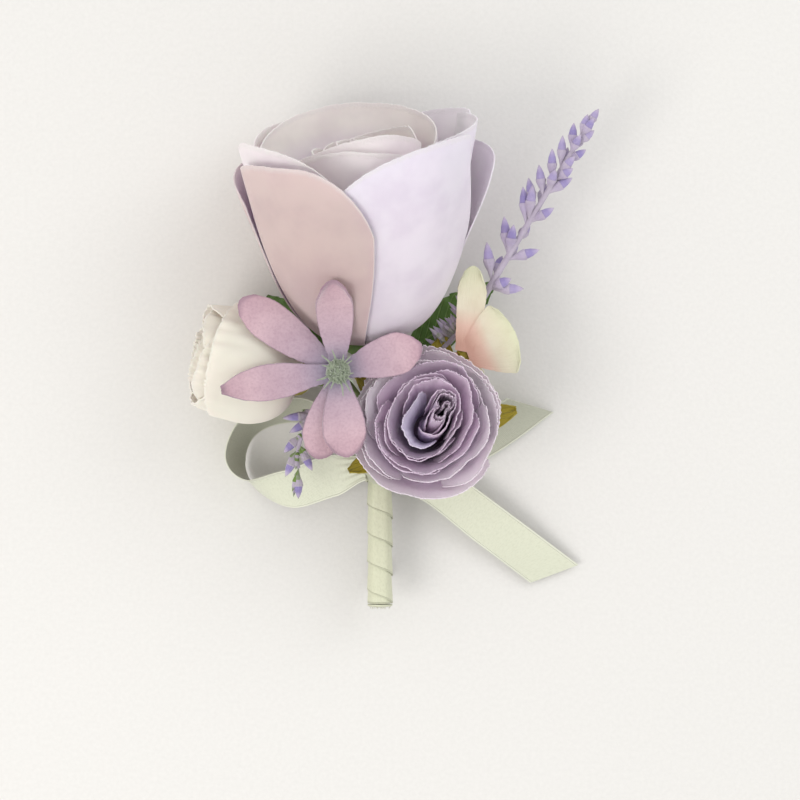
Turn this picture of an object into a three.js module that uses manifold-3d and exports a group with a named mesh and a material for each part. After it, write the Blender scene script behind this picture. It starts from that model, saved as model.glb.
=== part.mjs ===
// A pin-on corsage of fabric flowers: an open lilac rose with a small layered rose, a cream bud, a
// six-petalled flower, a cream floret and two lavender shoots, their stems bound into a ribbon-wrapped
// handle. A satin ribbon is tied round the top of the handle, and a bar pin with a turning catch is glued
// along its back.
// Millimetres, +Z up. The corsage lies on its back: the flowers face +Z and the handle points to -Y.
import * as THREE from "three";
import { mergeVertices } from "three/addons/utils/BufferGeometryUtils.js";
import Module from "manifold-3d";

const wasm = await Module();
wasm.setup();

// Shared fits and cloth
const SEAT = 0.3; // gap between two pieces that rest on each other
const PETAL_CLOTH = 0.5; // a stiffened petal with its starch
const RIBBON_CLOTH = 0.45;

// Handle: seven stems side by side, taped, then wound with ribbon
const STEM_RADIUS = 0.75;
const STEM_GAP = 0.25;
const TAPE_WALL = 0.3;
const WRAP_WALL = 0.4;
const WRAP_SLIP = 0.1; // tape over stems, ribbon over tape
const WRAP_PITCH = 6.2;
const WRAP_SPACE = 0.5; // between one turn and the next
const HANDLE_LENGTH = 43.2;
const STEM_FREE = 2.5; // of the stems, between the bindings and the first bend
const STEM_STRAIGHT = 4.5; // of each stem, where it enters its flower
const HANDLE_END = 0.6; // thickness of the folded ribbon end
const BUNDLE_X = -4.3; // where the top of the handle stands, seen from above
const BUNDLE_Y = -24.1;

// Bar pin
const NEEDLE_RADIUS = 0.4;
const NEEDLE_CLEARANCE = 0.3; // round the needle in the catch
const NEEDLE_SPACE = 4.8; // for the cloth, between needle and bar
const NEEDLE_TAPER = 4;
const NEEDLE_PAST_CATCH = 1.8;
const CATCH_RING = 0.75;
const CATCH_SLIP = 0.08;
const CATCH_WALL = 0.6;
const CATCH_WIDTH = 2;
const CATCH_FLANGE_WALL = 0.45;
const CATCH_TAB = 1.5;
const CATCH_MOUTH_ANGLE = 65; // degrees each side of straight down
const CATCH_TURN_ANGLE = 92;
const TAB_HALF_ANGLE = 9;
const HINGE_PIN_RADIUS = 0.5;
const HINGE_SLIP = 0.08;
const EYE_WALL = 0.75;
const EYE_WIDTH = 1.7;
const EAR_WALL = 0.5;
const RIVET_HEAD_RADIUS = 0.9;
const RIVET_HEAD_WALL = 0.35;
const BAR_LENGTH = 26;
const BAR_WIDTH = 4.6;
const BAR_WALL = 0.8;
const BAR_END_RADIUS = 1.2;
const BAR_HOLE_RADIUS = 0.9;
const BAR_BELOW_TIE = 1.6;
const BAR_END_MARGIN = 2.3; // from the bar's end to the hinge and to the catch
const GLUE_DEPTH = 0.5; // thinnest, under the middle of the handle
const GLUE_INSET = 0.5;

// Ribbon and bow
const RIBBON_WIDTH = 12;
const TIE_WIDTH = 8;
const TIE_FROM_TOP = 6;
const TIE_SLIP = 0.15;
const KNOT_LENGTH = 9.6; // along the handle
const KNOT_WIDTH = 8.4;
const KNOT_HEIGHT = 3.8;
const LOOP_REACH = 39.5; // from the knot to the loop's far end
const LOWER_TAIL_REACH = 54.5;
const SIDE_TAIL_REACH = 43.5;
const LOWER_TAIL_CUT = 7.6; // how far one corner of the slanted end runs past the other
const SIDE_TAIL_CUT = 9.5;

// Large rose
const ROSE_X = -2.9; // from the top of the handle to the rose's base
const ROSE_Y = 28.9;
const ROSE_Z = 8.2;
const ROSE_TILT = 15; // degrees that its mouth is lifted off the table
const ROSE_LEAN = 2.2;
const ROSE_RADIUS = 36;
const ROSE_HEIGHT = 62;
const ROSE_PITCH = 1.05; // from one layer of petals to the next
const ROSE_CALYX_HEIGHT = 5.5;
const ROSE_CORE_RADIUS = 6;
const ROSE_CORE_HEIGHT = 51;

// Small layered rose
const TEA_X = 12.6;
const TEA_Y = 3.2;
const TEA_Z = 9;
const TEA_TILT = 12;
const TEA_RADIUS = 20.6;
const TEA_HEIGHT = 22.5;
const TEA_PITCH = 0.95;
const TEA_RIPPLE = 0.5;
const TEA_CALYX_HEIGHT = 3.4;
const TEA_CORE_RADIUS = 3.2;
const TEA_CORE_HEIGHT = 16;
const SEPAL_REACH = 22.5;
const SEPAL_WIDTH = 5.6;
const SEPAL_WALL = 0.45;
const SEPAL_RISE = 2.5;

// Cream bud
const BUD_X = -22.3;
const BUD_Y = 18.4;
const BUD_Z = 7.2;
const BUD_RADIUS = 17;
const BUD_HEIGHT = 28.5;
const BUD_PITCH = 1;
const BUD_CALYX_HEIGHT = 4;
const BUD_CORE_RADIUS = 4;
const BUD_CORE_HEIGHT = 21;

// Six-petalled flower
const STAR_X = -11;
const STAR_Y = 19.9;
const STAR_Z = 26;
const STAR_REACH = 32.5; // of the longest petal, from the flower's axis
const STAR_WIDTH = 11; // of an ordinary petal
const STAR_DISC_RADIUS = 3.4;
const STAR_CLOTH = 0.6;
const STAR_CALYX_HEIGHT = 3;
const STAR_CALYX_RADIUS = 2.6;
const BUTTON_RADIUS = 3.4;
const BUTTON_HEIGHT = 2.6;
const FILAMENT_REACH = 5.8;
const FILAMENT_RADIUS = 0.35;

// Cream floret
const FLORET_X = 22.6;
const FLORET_Y = 24.2;
const FLORET_Z = 10.8;
const FLORET_REACH = 24.5;
const FLORET_WIDTH = 8;
const FLORET_DISC_RADIUS = 2.6;
const FLORET_CLOTH = 0.6;
const FLORET_BEAD_RADIUS = 1.5;
const FLORET_CALYX_HEIGHT = 3;
const FLORET_CALYX_RADIUS = 2.2;

// Leaves
const LEAF_LENGTH = 34;
const LEAF_WIDTH = 12.5;
const LEAF_WALL = 0.5;
const LEAF_FOLD = 1.6;
const LEAF_ARCH = 1;
const LEAF_SPREAD = 50; // from the top of the handle to the right leaf's tip, nearly
const LEAF_TOOTH = 0.5;
const PETIOLE_RADIUS = 0.6;
const SPRIG_PERCH_SHARE = 0.43; // along the lavender's stem, where the right leaf is wired on

// Lavender
const SPRIG_X = 28.6; // from the top of the handle to where the flowering part begins
const SPRIG_Y = 41;
const SPRIG_Z = 7.8;
const SPRIG_LENGTH = 56; // the flowering part
const SPRIG_SPREAD = 6.5;
const BUDLET_LENGTH = 8.4;
const BUDLET_RADIUS = 1.45;
const SHOOT_REACH = 22; // sideways from the handle

// Materials, one for each finish
const cloth = (color, roughness = 0.8) => new THREE.MeshStandardMaterial({ color, roughness, metalness: 0 });
const metal = (color) => new THREE.MeshStandardMaterial({ color, roughness: 0.3, metalness: 1 });
const LILAC = cloth(0xc3b6c6);
const LILAC_BLUSH = cloth(0xb9a2a6);
const PURPLE = cloth(0x8f7b9d);
const CREAM = cloth(0xd4cbb2);
const MAUVE = cloth(0xb093a2);
const PEACH = cloth(0xd8c2a8);
const GREEN = cloth(0x4c7a2e, 0.6);
const OLIVE = cloth(0x8c8418, 0.6);
const SAGE = cloth(0x93a588, 0.7);
const LAVENDER = cloth(0x8a7fb0, 0.85);
const STEM_GREEN = cloth(0x5d7040, 0.6);
const SATIN = cloth(0xc9ccb8, 0.45);
const TAPE = cloth(0xb9bd9c, 0.9);
const GLUE = cloth(0xe4e0cf, 0.35);
const STEEL = metal(0xc4c6c8);

// Plain helpers
const radians = THREE.MathUtils.degToRad;
const clamp01 = (x) => Math.min(1, Math.max(0, x));
const smooth = (x) => clamp01(x) ** 2 * (3 - 2 * clamp01(x));
const lerp = THREE.MathUtils.lerp;
const sum = (...vectors) => vectors.reduce((a, b) => a.clone().add(b), new THREE.Vector3());

function solidOf(geometry) {
  const bare = geometry.index ? geometry.toNonIndexed() : geometry.clone();
  bare.deleteAttribute("normal");
  bare.deleteAttribute("uv");
  const merged = mergeVertices(bare, 1e-4);
  return new wasm.Manifold(
    new wasm.Mesh({
      numProp: 3,
      vertProperties: merged.attributes.position.array,
      triVerts: new Uint32Array(merged.index.array),
    }),
  );
}

function geometryOf(solid) {
  const mesh = solid.getMesh();
  const geometry = new THREE.BufferGeometry();
  geometry.setAttribute("position", new THREE.BufferAttribute(mesh.vertProperties, 3));
  geometry.setIndex(new THREE.BufferAttribute(mesh.triVerts, 1));
  geometry.computeVertexNormals();
  return geometry;
}

const joined = (geometries) => geometryOf(geometries.map(solidOf).reduce((a, b) => a.add(b)));
const cut = (body, tools) => geometryOf(tools.map(solidOf).reduce((a, b) => a.subtract(b), solidOf(body)));

// A closed sheet of even thickness on a mid-surface place(u, v), u and v from 0 to 1. A ring closes on
// itself in u.
function sheet(place, columns, rows, thickness, ring = false) {
  const step = 1e-3;
  const count = ring ? columns : columns + 1;
  const points = [];
  for (const side of [0.5, -0.5])
    for (let j = 0; j <= rows; j++)
      for (let i = 0; i < count; i++) {
        const u = i / columns;
        const v = j / rows;
        const u0 = ring ? u - step : Math.max(0, u - step);
        const u1 = ring ? u + step : Math.min(1, u + step);
        const along = place(u1, v).sub(place(u0, v));
        const up = place(u, Math.min(1, v + step)).sub(place(u, Math.max(0, v - step)));
        const normal = along.cross(up).normalize();
        points.push(...place(u, v).addScaledVector(normal, side * thickness));
      }
  const back = count * (rows + 1);
  const at = (i, j) => j * count + (ring ? i % columns : i);
  const index = [];
  const quad = (a, b, c, d) => index.push(a, b, c, a, c, d);
  for (let j = 0; j < rows; j++)
    for (let i = 0; i < columns; i++) {
      quad(at(i, j), at(i + 1, j), at(i + 1, j + 1), at(i, j + 1));
      quad(back + at(i, j), back + at(i, j + 1), back + at(i + 1, j + 1), back + at(i + 1, j));
    }
  for (let i = 0; i < columns; i++) {
    quad(at(i + 1, 0), at(i, 0), back + at(i, 0), back + at(i + 1, 0));
    quad(at(i, rows), at(i + 1, rows), back + at(i + 1, rows), back + at(i, rows));
  }
  if (!ring)
    for (let j = 0; j < rows; j++) {
      quad(at(columns, j + 1), at(columns, j), back + at(columns, j), back + at(columns, j + 1));
      quad(at(0, j), at(0, j + 1), back + at(0, j + 1), back + at(0, j));
    }
  const geometry = new THREE.BufferGeometry();
  geometry.setAttribute("position", new THREE.Float32BufferAttribute(points, 3));
  geometry.setIndex(index);
  geometry.computeVertexNormals();
  return geometry;
}

// A round bar along a curve.
function bar(curve, radius, steps, sides = 6) {
  const section = new THREE.Shape();
  for (let k = 0; k < sides; k++) {
    const angle = (2 * Math.PI * k) / sides;
    const go = k ? "lineTo" : "moveTo";
    section[go](radius * Math.cos(angle), radius * Math.sin(angle));
  }
  section.closePath();
  return new THREE.ExtrudeGeometry(section, { steps, extrudePath: curve, bevelEnabled: false });
}

// A profile of [radius, height] pairs turned about Z.
function turned(profile, segments) {
  const points = profile.map(([r, z]) => new THREE.Vector2(r, z));
  const geometry = new THREE.LatheGeometry(points, segments);
  geometry.rotateX(Math.PI / 2);
  return geometry;
}

const corsage = new THREE.Group();

function add(parent, name, geometry, material) {
  const mesh = new THREE.Mesh(geometry, material);
  mesh.name = name;
  parent.add(mesh);
  return mesh;
}

// A flower head's own group: local +Z is its axis and local +Y leans towards front.
function head(place, axis, front) {
  const group = new THREE.Group();
  const x = front.clone().cross(axis).normalize();
  group.position.copy(place);
  group.quaternion.setFromRotationMatrix(new THREE.Matrix4().makeBasis(x, axis.clone().cross(x), axis));
  corsage.add(group);
  return group;
}

// Handle

const BUNDLE_RADIUS = 3 * STEM_RADIUS + STEM_GAP;
const TAPE_INNER = BUNDLE_RADIUS + WRAP_SLIP;
const WRAP_INNER = TAPE_INNER + TAPE_WALL + WRAP_SLIP;
const HANDLE_RADIUS = WRAP_INNER + WRAP_WALL;
const ROTOR_INNER = NEEDLE_RADIUS + NEEDLE_CLEARANCE;
const ROTOR_OUTER = ROTOR_INNER + CATCH_RING;
const HOUSING_INNER = ROTOR_OUTER + CATCH_SLIP;
const HOUSING_OUTER = HOUSING_INNER + CATCH_WALL;
const NEEDLE_Z = HOUSING_OUTER;
const BAR_Z = NEEDLE_Z + NEEDLE_RADIUS + NEEDLE_SPACE; // the face towards the garment
const GLUE_Z = BAR_Z + BAR_WALL + SEAT;
const HANDLE_Z = GLUE_Z + GLUE_DEPTH + SEAT + HANDLE_RADIUS;
const handleTop = new THREE.Vector3(BUNDLE_X, BUNDLE_Y, HANDLE_Z);
const handleFoot = BUNDLE_Y - HANDLE_LENGTH;
const TIE_Y = BUNDLE_Y - TIE_FROM_TOP;
const TIE_INNER = HANDLE_RADIUS + TIE_SLIP;
const TIE_OUTER = TIE_INNER + RIBBON_CLOTH;

const fromTop = (x, y, z) => handleTop.clone().add(new THREE.Vector3(x, y, z));
const alongHandle = (geometry, y) => geometry.rotateX(-Math.PI / 2).translate(BUNDLE_X, y, HANDLE_Z);

function handle() {
  const tube = [
    [TAPE_INNER, 0],
    [TAPE_INNER + TAPE_WALL, 0],
    [TAPE_INNER + TAPE_WALL, HANDLE_LENGTH - STEM_FREE],
    [TAPE_INNER, HANDLE_LENGTH - STEM_FREE],
    [TAPE_INNER, 0],
  ];
  add(corsage, "handle_tape", alongHandle(turned(tube, 20), handleFoot), TAPE);

  // The ribbon is one strip wound in a helix, a small space short of its own last turn.
  const strip = WRAP_PITCH - WRAP_SPACE;
  const turns = (HANDLE_LENGTH - STEM_FREE - strip) / WRAP_PITCH;
  const middle = WRAP_INNER + WRAP_WALL / 2;
  const wound = (u, v) => {
    const angle = 2 * Math.PI * turns * v;
    const rise = WRAP_PITCH * turns * v + strip * u;
    return new THREE.Vector3(middle * Math.cos(angle), middle * Math.sin(angle), rise);
  };
  const wrap = sheet((u, v) => wound(1 - u, v), 1, Math.round(turns * 14), WRAP_WALL);
  add(corsage, "handle_wrap", alongHandle(wrap, handleFoot), SATIN);
  const edge = wound(1, 0);
  let gap = Infinity;
  for (let k = 0; k <= 40; k++) gap = Math.min(gap, edge.distanceTo(wound(0, (0.9 + k / 200) / turns)));
  console.log(`handle_wrap: ${turns.toFixed(1)} turns, least gap to itself ${gap.toFixed(2)} mm`);

  const disc = [
    [0, 0],
    [HANDLE_RADIUS - HANDLE_END / 2, 0],
    [HANDLE_RADIUS, HANDLE_END],
    [0, HANDLE_END],
  ];
  add(corsage, "handle_end", alongHandle(turned(disc, 20), handleFoot - HANDLE_END - SEAT), SATIN);
}

// A stem's place in the bundle: one in the middle, the others at degrees round it.
function stemExit(slot) {
  const spread = slot === null ? 0 : 2 * STEM_RADIUS + STEM_GAP;
  const turn = radians(slot ?? 0);
  return fromTop(spread * Math.cos(turn), 0, spread * Math.sin(turn));
}

// A stem runs straight through the handle, then bends to reach its target along the axis.
function stemPath(slot, target, axis, leads) {
  const exit = stemExit(slot);
  const path = new THREE.CurvePath();
  path.add(new THREE.LineCurve3(exit.clone().setY(handleFoot), exit));
  const out = exit.clone().add(new THREE.Vector3(0, leads[0] * HANDLE_LENGTH, 0));
  const end = target.clone().addScaledVector(axis, -STEM_STRAIGHT);
  const arrive = end.clone().addScaledVector(axis, -leads[1] * HANDLE_LENGTH);
  path.add(new THREE.CubicBezierCurve3(exit, out, arrive, end));
  path.add(new THREE.LineCurve3(end, target));
  return path;
}

const stem = (name, slot, target, axis, leads) =>
  add(corsage, name, bar(stemPath(slot, target, axis, leads), STEM_RADIUS, 20), STEM_GREEN);

// A calyx is a cup turned about the flower's axis, with a blind bore for the stem.
const BORE_RADIUS = STEM_RADIUS + SEAT;
const boreShare = 0.7;
function cup(height, bottomRadius, topRadius) {
  const bore = boreShare * height;
  const profile = [
    [0, bore],
    [BORE_RADIUS, bore],
    [BORE_RADIUS, 0],
    [bottomRadius, 0],
    [lerp(bottomRadius, topRadius, 0.75), height * 0.45],
    [topRadius, height],
    [0, height],
  ];
  return turned(profile, 16).translate(0, 0, -height);
}
const stemEnd = (place, axis, height) =>
  place.clone().addScaledVector(axis, (boreShare - 1) * height - SEAT);

// Petals that stand round a flower's axis

// A point of the outermost petals' side view and its inward direction, s from 0 at the seat to 1 at the
// tallest rim. The shares are of the flower's radius, the lift of its height.
function bowl({ radius, height, bowlShares }, s) {
  const { start, bulge, shoulder, rim } = bowlShares;
  const r = [start, bulge, shoulder, rim].map((share) => share * radius);
  const z = [0, 0, bowlShares.lift * height, height];
  const weigh = ([a, b, c, d]) =>
    (1 - s) ** 3 * a + 3 * (1 - s) ** 2 * s * b + 3 * (1 - s) * s ** 2 * c + s ** 3 * d;
  const slope = ([a, b, c, d]) =>
    3 * ((1 - s) ** 2 * (b - a) + 2 * (1 - s) * s * (c - b) + s ** 2 * (d - c));
  const run = slope(r);
  const rise = slope(z);
  const length = Math.hypot(run, rise);
  return { r: weigh(r), z: weigh(z), inR: -rise / length, inZ: run / length };
}

// Where a petal's sheet lies. Its row of the table gives degrees round the axis, its layer from the outside,
// how high it reaches, how far it leans at the rim, where its tip is, how far its corners drop and how
// suddenly they do.
function petalPlace(flower, petal) {
  const tip = petal.tip ?? 0;
  const middle = (petal.from + petal.to) / 2;
  const half = (petal.to - petal.from) / 2;
  return (u, v) => {
    const w = 2 * u - 1;
    const away = w < tip ? (tip - w) / (1 + tip) : (w - tip) / (1 - tip);
    const drop = (w < tip ? petal.dropFrom : petal.dropTo) ?? petal.drop ?? 0.1;
    const s = v * petal.top * (1 - drop * away ** (petal.power ?? 3));
    const side = bowl(flower, s);
    const depth = petal.layer * flower.pitch;
    const lean = (petal.lean ?? 1) + (petal.turn ?? 0) * w + (petal.flare ?? 0) * (1 - w ** 2) ** 2;
    const angle = radians(middle + w * half * lerp(petal.neck ?? 0.7, 1, smooth(s * 1.5)));
    const ripple = flower.ripple * s ** 3 * Math.sin(flower.ripples * angle);
    const r = (side.r + side.inR * depth) * (1 + (lean - 1) * s ** 1.4) + ripple;
    const z = side.z + side.inZ * depth + SEAT + PETAL_CLOTH / 2;
    return new THREE.Vector3(r * Math.cos(angle), r * Math.sin(angle), z);
  };
}

function petals(group, flower, table, materials) {
  for (const [name, petal] of Object.entries(table)) {
    const columns = Math.max(6, Math.round((petal.to - petal.from) / flower.stepAngle));
    add(group, name, sheet(petalPlace(flower, petal), columns, flower.rows, PETAL_CLOTH), materials(name));
  }
}

// The heart of a rolled flower: a post that the petals sit against, widening to a closed bud.
function core(flower, radius, height) {
  const post = flower.bowlShares.start * flower.radius - SEAT;
  const seatTop = 6 * flower.pitch;
  const profile = [
    [0, 0],
    [post, 0],
    [post, seatTop],
    [Math.min(post, radius) * 0.8, seatTop * 1.3],
    [radius, height * 0.6],
    [radius * 0.7, height * 0.92],
    [0, height],
  ];
  return turned(profile, 14).translate(0, 0, SEAT);
}

// Large rose. Degrees run from the left of the flower over the viewer's side (90) to its right (180).
const rosePetalShares = {
  rose_petal_front_left: {
    from: 20,
    to: 95,
    layer: 0,
    top: 0.918,
    dropFrom: 0.03,
    dropTo: 0.2,
    power: 2.5,
  },
  rose_petal_back_left: { from: 262, to: 377, layer: 0, top: 0.86, tip: 0.3, turn: 0.02 },
  rose_petal_front_right: {
    from: 74,
    to: 147,
    layer: 1,
    top: 0.97,
    tip: 0.9,
    dropFrom: 0.17,
    dropTo: 0.01,
    power: 2.5,
  },
  rose_petal_back: { from: 230, to: 326, layer: 1, top: 0.87, drop: 0.12 },
  rose_petal_side_right: {
    from: 168,
    to: 256,
    layer: 2,
    top: 0.889,
    tip: -0.2,
    drop: 0.05,
    lean: 1.03,
    turn: -0.09,
  },
  rose_petal_side_left: {
    from: 346,
    to: 434,
    layer: 2,
    top: 0.951,
    tip: 0.05,
    dropFrom: 0.09,
    dropTo: 0.055,
    lean: 0.97,
    power: 2.3,
  },
  rose_petal_top_right: {
    from: 198,
    to: 262,
    layer: 3,
    top: 0.967,
    tip: -0.8,
    dropTo: 0.08,
    lean: 0.97,
    turn: -0.05,
    power: 1.6,
  },
  rose_petal_top_left: { from: 280, to: 346, layer: 3, top: 0.935, drop: 0.04, lean: 0.95 },
  rose_petal_inner_front: {
    from: 24,
    to: 144,
    layer: 4,
    top: 0.98,
    tip: -0.3,
    drop: 0.1,
    lean: 0.6,
    power: 1.6,
  },
  rose_petal_inner_slip: {
    from: 40,
    to: 138,
    layer: 3,
    top: 0.94,
    tip: -0.1,
    drop: 0.06,
    lean: 0.65,
    power: 1.6,
  },
  rose_petal_inner_arch: {
    from: 152,
    to: 366,
    layer: 4,
    top: 0.98,
    tip: 0.1,
    dropFrom: 0.1,
    dropTo: 0.12,
    lean: 0.67,
    turn: 0.17,
    power: 2,
  },
  rose_petal_inner_scroll: {
    from: 176,
    to: 400,
    layer: 5,
    top: 0.935,
    tip: -0.7,
    dropTo: 0.2,
    lean: 0.45,
    power: 1.3,
  },
};

function rose() {
  const tilt = radians(ROSE_TILT);
  const axis = new THREE.Vector3(-Math.sin(radians(ROSE_LEAN)), Math.cos(tilt), Math.sin(tilt)).normalize();
  const place = fromTop(ROSE_X, ROSE_Y, ROSE_Z);
  const flower = {
    radius: ROSE_RADIUS,
    height: ROSE_HEIGHT,
    pitch: ROSE_PITCH,
    stepAngle: 15,
    rows: 6,
    ripple: 0,
    ripples: 0,
    bowlShares: { start: 0.2, bulge: 0.62, shoulder: 0.83, rim: 1, lift: 0.43 },
  };
  const group = head(place, axis, new THREE.Vector3(0, 0, 1));
  stem("rose_stem", null, stemEnd(place, axis, ROSE_CALYX_HEIGHT), axis, [0.2, 0.2]);
  const seatRadius = flower.bowlShares.start * ROSE_RADIUS;
  add(group, "rose_calyx", cup(ROSE_CALYX_HEIGHT, 2 * BORE_RADIUS, seatRadius), GREEN);
  add(group, "rose_core", core(flower, ROSE_CORE_RADIUS, ROSE_CORE_HEIGHT), LILAC_BLUSH);
  petals(group, flower, rosePetalShares, (name) => (name.endsWith("left") ? LILAC_BLUSH : LILAC));
}

// Small layered rose. Degrees run from its right (0) over the top (90) to its left (180).
const teaPetalShares = {
  tea_petal_outer_lower: { from: 186, to: 332, layer: 0, top: 0.76, drop: 0.06, lean: 1.1 },
  tea_petal_outer_upper: { from: 6, to: 152, layer: 0, top: 0.76, drop: 0.06, lean: 1.1 },
  tea_petal_outer_left: { from: 100, to: 238, layer: 1, top: 0.82, drop: 0.06, lean: 1.02 },
  tea_petal_outer_right: { from: 284, to: 422, layer: 1, top: 0.82, drop: 0.06, lean: 1.02 },
  tea_petal_middle_upper: { from: 14, to: 196, layer: 2, top: 0.89, drop: 0.05, lean: 0.9 },
  tea_petal_middle_lower: { from: 168, to: 376, layer: 3, top: 0.93, drop: 0.05, lean: 0.78 },
  tea_petal_inner_scroll: { from: 30, to: 330, layer: 4, top: 0.96, drop: 0.03, lean: 0.58 },
  tea_petal_heart_scroll: { from: 210, to: 505, layer: 5, top: 1, drop: 0.03, lean: 0.36 },
};

// The last sepal is short, so that no petal shows it.
const sepalShares = [
  { angle: 12, reach: 1 },
  { angle: 82, reach: 1 },
  { angle: 138, reach: 1 },
  { angle: 206, reach: 1 },
  { angle: 285, reach: 0.6 },
];

function sepals() {
  return sepalShares.map(({ angle, reach }) => {
    const place = bladePlace({
      angle,
      start: TEA_CALYX_SEAT * 0.6,
      length: SEPAL_REACH * reach,
      width: SEPAL_WIDTH,
      rise: SEPAL_RISE,
      base: -TEA_CALYX_HEIGHT * 0.25,
      outline: pointedShares,
    });
    return sheet(place, 2, 5, SEPAL_WALL);
  });
}

const TEA_CALYX_SEAT = 0.2 * TEA_RADIUS;
function teaRose() {
  const tilt = radians(TEA_TILT);
  const axis = new THREE.Vector3(0, Math.sin(tilt), Math.cos(tilt));
  const place = fromTop(TEA_X, TEA_Y, TEA_Z);
  const flower = {
    radius: TEA_RADIUS,
    height: TEA_HEIGHT,
    pitch: TEA_PITCH,
    stepAngle: 18,
    rows: 4,
    ripple: TEA_RIPPLE,
    ripples: 7,
    bowlShares: { start: 0.2, bulge: 0.62, shoulder: 0.98, rim: 1, lift: 0.4 },
  };
  const group = head(place, axis, new THREE.Vector3(0, 1, 0));
  stem("tea_stem", 30, stemEnd(place, axis, TEA_CALYX_HEIGHT), axis, [0.1, 0.04]);
  const calyx = joined([cup(TEA_CALYX_HEIGHT, 1.6 * BORE_RADIUS, TEA_CALYX_SEAT), ...sepals()]);
  add(group, "tea_calyx", calyx, OLIVE);
  add(group, "tea_core", core(flower, TEA_CORE_RADIUS, TEA_CORE_HEIGHT), PURPLE);
  petals(group, flower, teaPetalShares, () => PURPLE);
}

// Cream bud. Degrees run from the lower side of the flower over the viewer's side (90) to its upper side.
const budPetalShares = {
  bud_petal_front: { from: 16, to: 166, layer: 0, top: 0.965, drop: 0.13, power: 2 },
  bud_petal_back: { from: 214, to: 342, layer: 0, top: 0.95, drop: 0.06 },
  bud_petal_upper: { from: 140, to: 250, layer: 1, top: 0.99, drop: 0.06, lean: 0.99 },
  bud_petal_lower: { from: 300, to: 402, layer: 1, top: 0.95, drop: 0.06, lean: 0.99 },
  bud_petal_inner: { from: 60, to: 330, layer: 2, top: 0.9, drop: 0.03, lean: 0.72 },
};

function bud() {
  const axis = new THREE.Vector3(-0.95, 0.24, 0.2).normalize();
  const place = fromTop(BUD_X, BUD_Y, BUD_Z);
  const flower = {
    radius: BUD_RADIUS,
    height: BUD_HEIGHT,
    pitch: BUD_PITCH,
    stepAngle: 18,
    rows: 5,
    ripple: 0,
    ripples: 0,
    bowlShares: { start: 0.28, bulge: 0.95, shoulder: 1.12, rim: 0.8, lift: 0.45 },
  };
  const group = head(place, axis, new THREE.Vector3(0, 0, 1));
  stem("bud_stem", 150, stemEnd(place, axis, BUD_CALYX_HEIGHT), axis, [0.2, 0.2]);
  const seatRadius = flower.bowlShares.start * BUD_RADIUS;
  add(group, "bud_calyx", cup(BUD_CALYX_HEIGHT, 1.6 * BORE_RADIUS, seatRadius), OLIVE);
  add(group, "bud_core", core(flower, BUD_CORE_RADIUS, BUD_CORE_HEIGHT), CREAM);
  petals(group, flower, budPetalShares, () => CREAM);
}

// Flat blades: the petals of open flowers, sepals and leaves

// Half widths of a blade from its root to its tip, in shares of its length and of its half width.
const roundShares = [
  [0, 0.42],
  [0.15, 0.52],
  [0.35, 0.8],
  [0.55, 0.97],
  [0.75, 1],
  [0.9, 0.88],
  [1, 0.6],
];
const pointedShares = [
  [0, 0.45],
  [0.2, 0.62],
  [0.45, 0.95],
  [0.65, 1],
  [0.85, 0.7],
  [1, 0.15],
];
const tallShares = [
  [0, 0.6],
  [0.25, 0.8],
  [0.5, 0.95],
  [0.75, 1],
  [0.9, 0.85],
  [1, 0.5],
];
const broadShares = [
  [0, 0.35],
  [0.25, 0.6],
  [0.5, 0.85],
  [0.75, 1],
  [0.9, 0.95],
  [1, 0.75],
];

function between(table, at) {
  const k = Math.max(1, table.findIndex(([place]) => place >= at));
  const [[from, low], [to, high]] = [table[k - 1], table[k]];
  return lerp(low, high, (at - from) / (to - from));
}

// A blade reaches out from its root at an angle and rises by its far end. Its edges are raised by lift, its
// tip is rounded by round, and its middle line bends sideways by bend.
function bladePlace(blade) {
  const { angle, start, length, width, rise, outline, base = 0, lift = 0, round = 0, bend = 0 } = blade;
  const turn = radians(angle);
  const out = new THREE.Vector3(Math.cos(turn), Math.sin(turn), 0);
  const side = new THREE.Vector3(-out.y, out.x, 0);
  return (u, v) => {
    const w = 1 - 2 * u;
    const half = (width / 2) * between(outline, v);
    const along = lerp(start, length, v) - round * w ** 2 * smooth((v - 0.6) / 0.4);
    const across = w * half + bend * v ** 2;
    const z = base + rise * v ** 1.6 + lift * v * w ** 2;
    return new THREE.Vector3(0, 0, z).addScaledVector(out, along).addScaledVector(side, across);
  };
}

// Petals of one piece of cloth: blades joined by a round disc. Lengths, rises and tips are shares of the
// flower's reach, widths and raised edges shares of its petals' width.
function bladedCloth(bladeShares, reach, width, discRadius, wall) {
  const disc = turned(
    [
      [0, -wall / 2],
      [discRadius, -wall / 2],
      [discRadius, wall / 2],
      [0, wall / 2],
    ],
    12,
  );
  const blades = bladeShares.map((share) => {
    const place = bladePlace({
      angle: share.angle,
      outline: share.outline,
      start: discRadius * 0.6,
      length: reach * share.length,
      rise: reach * share.rise,
      round: reach * (share.round ?? 0),
      bend: width * (share.bend ?? 0),
      width: width * share.width,
      lift: width * share.lift,
    });
    return sheet(place, 4, 8, wall);
  });
  return joined([disc, ...blades]);
}

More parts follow.
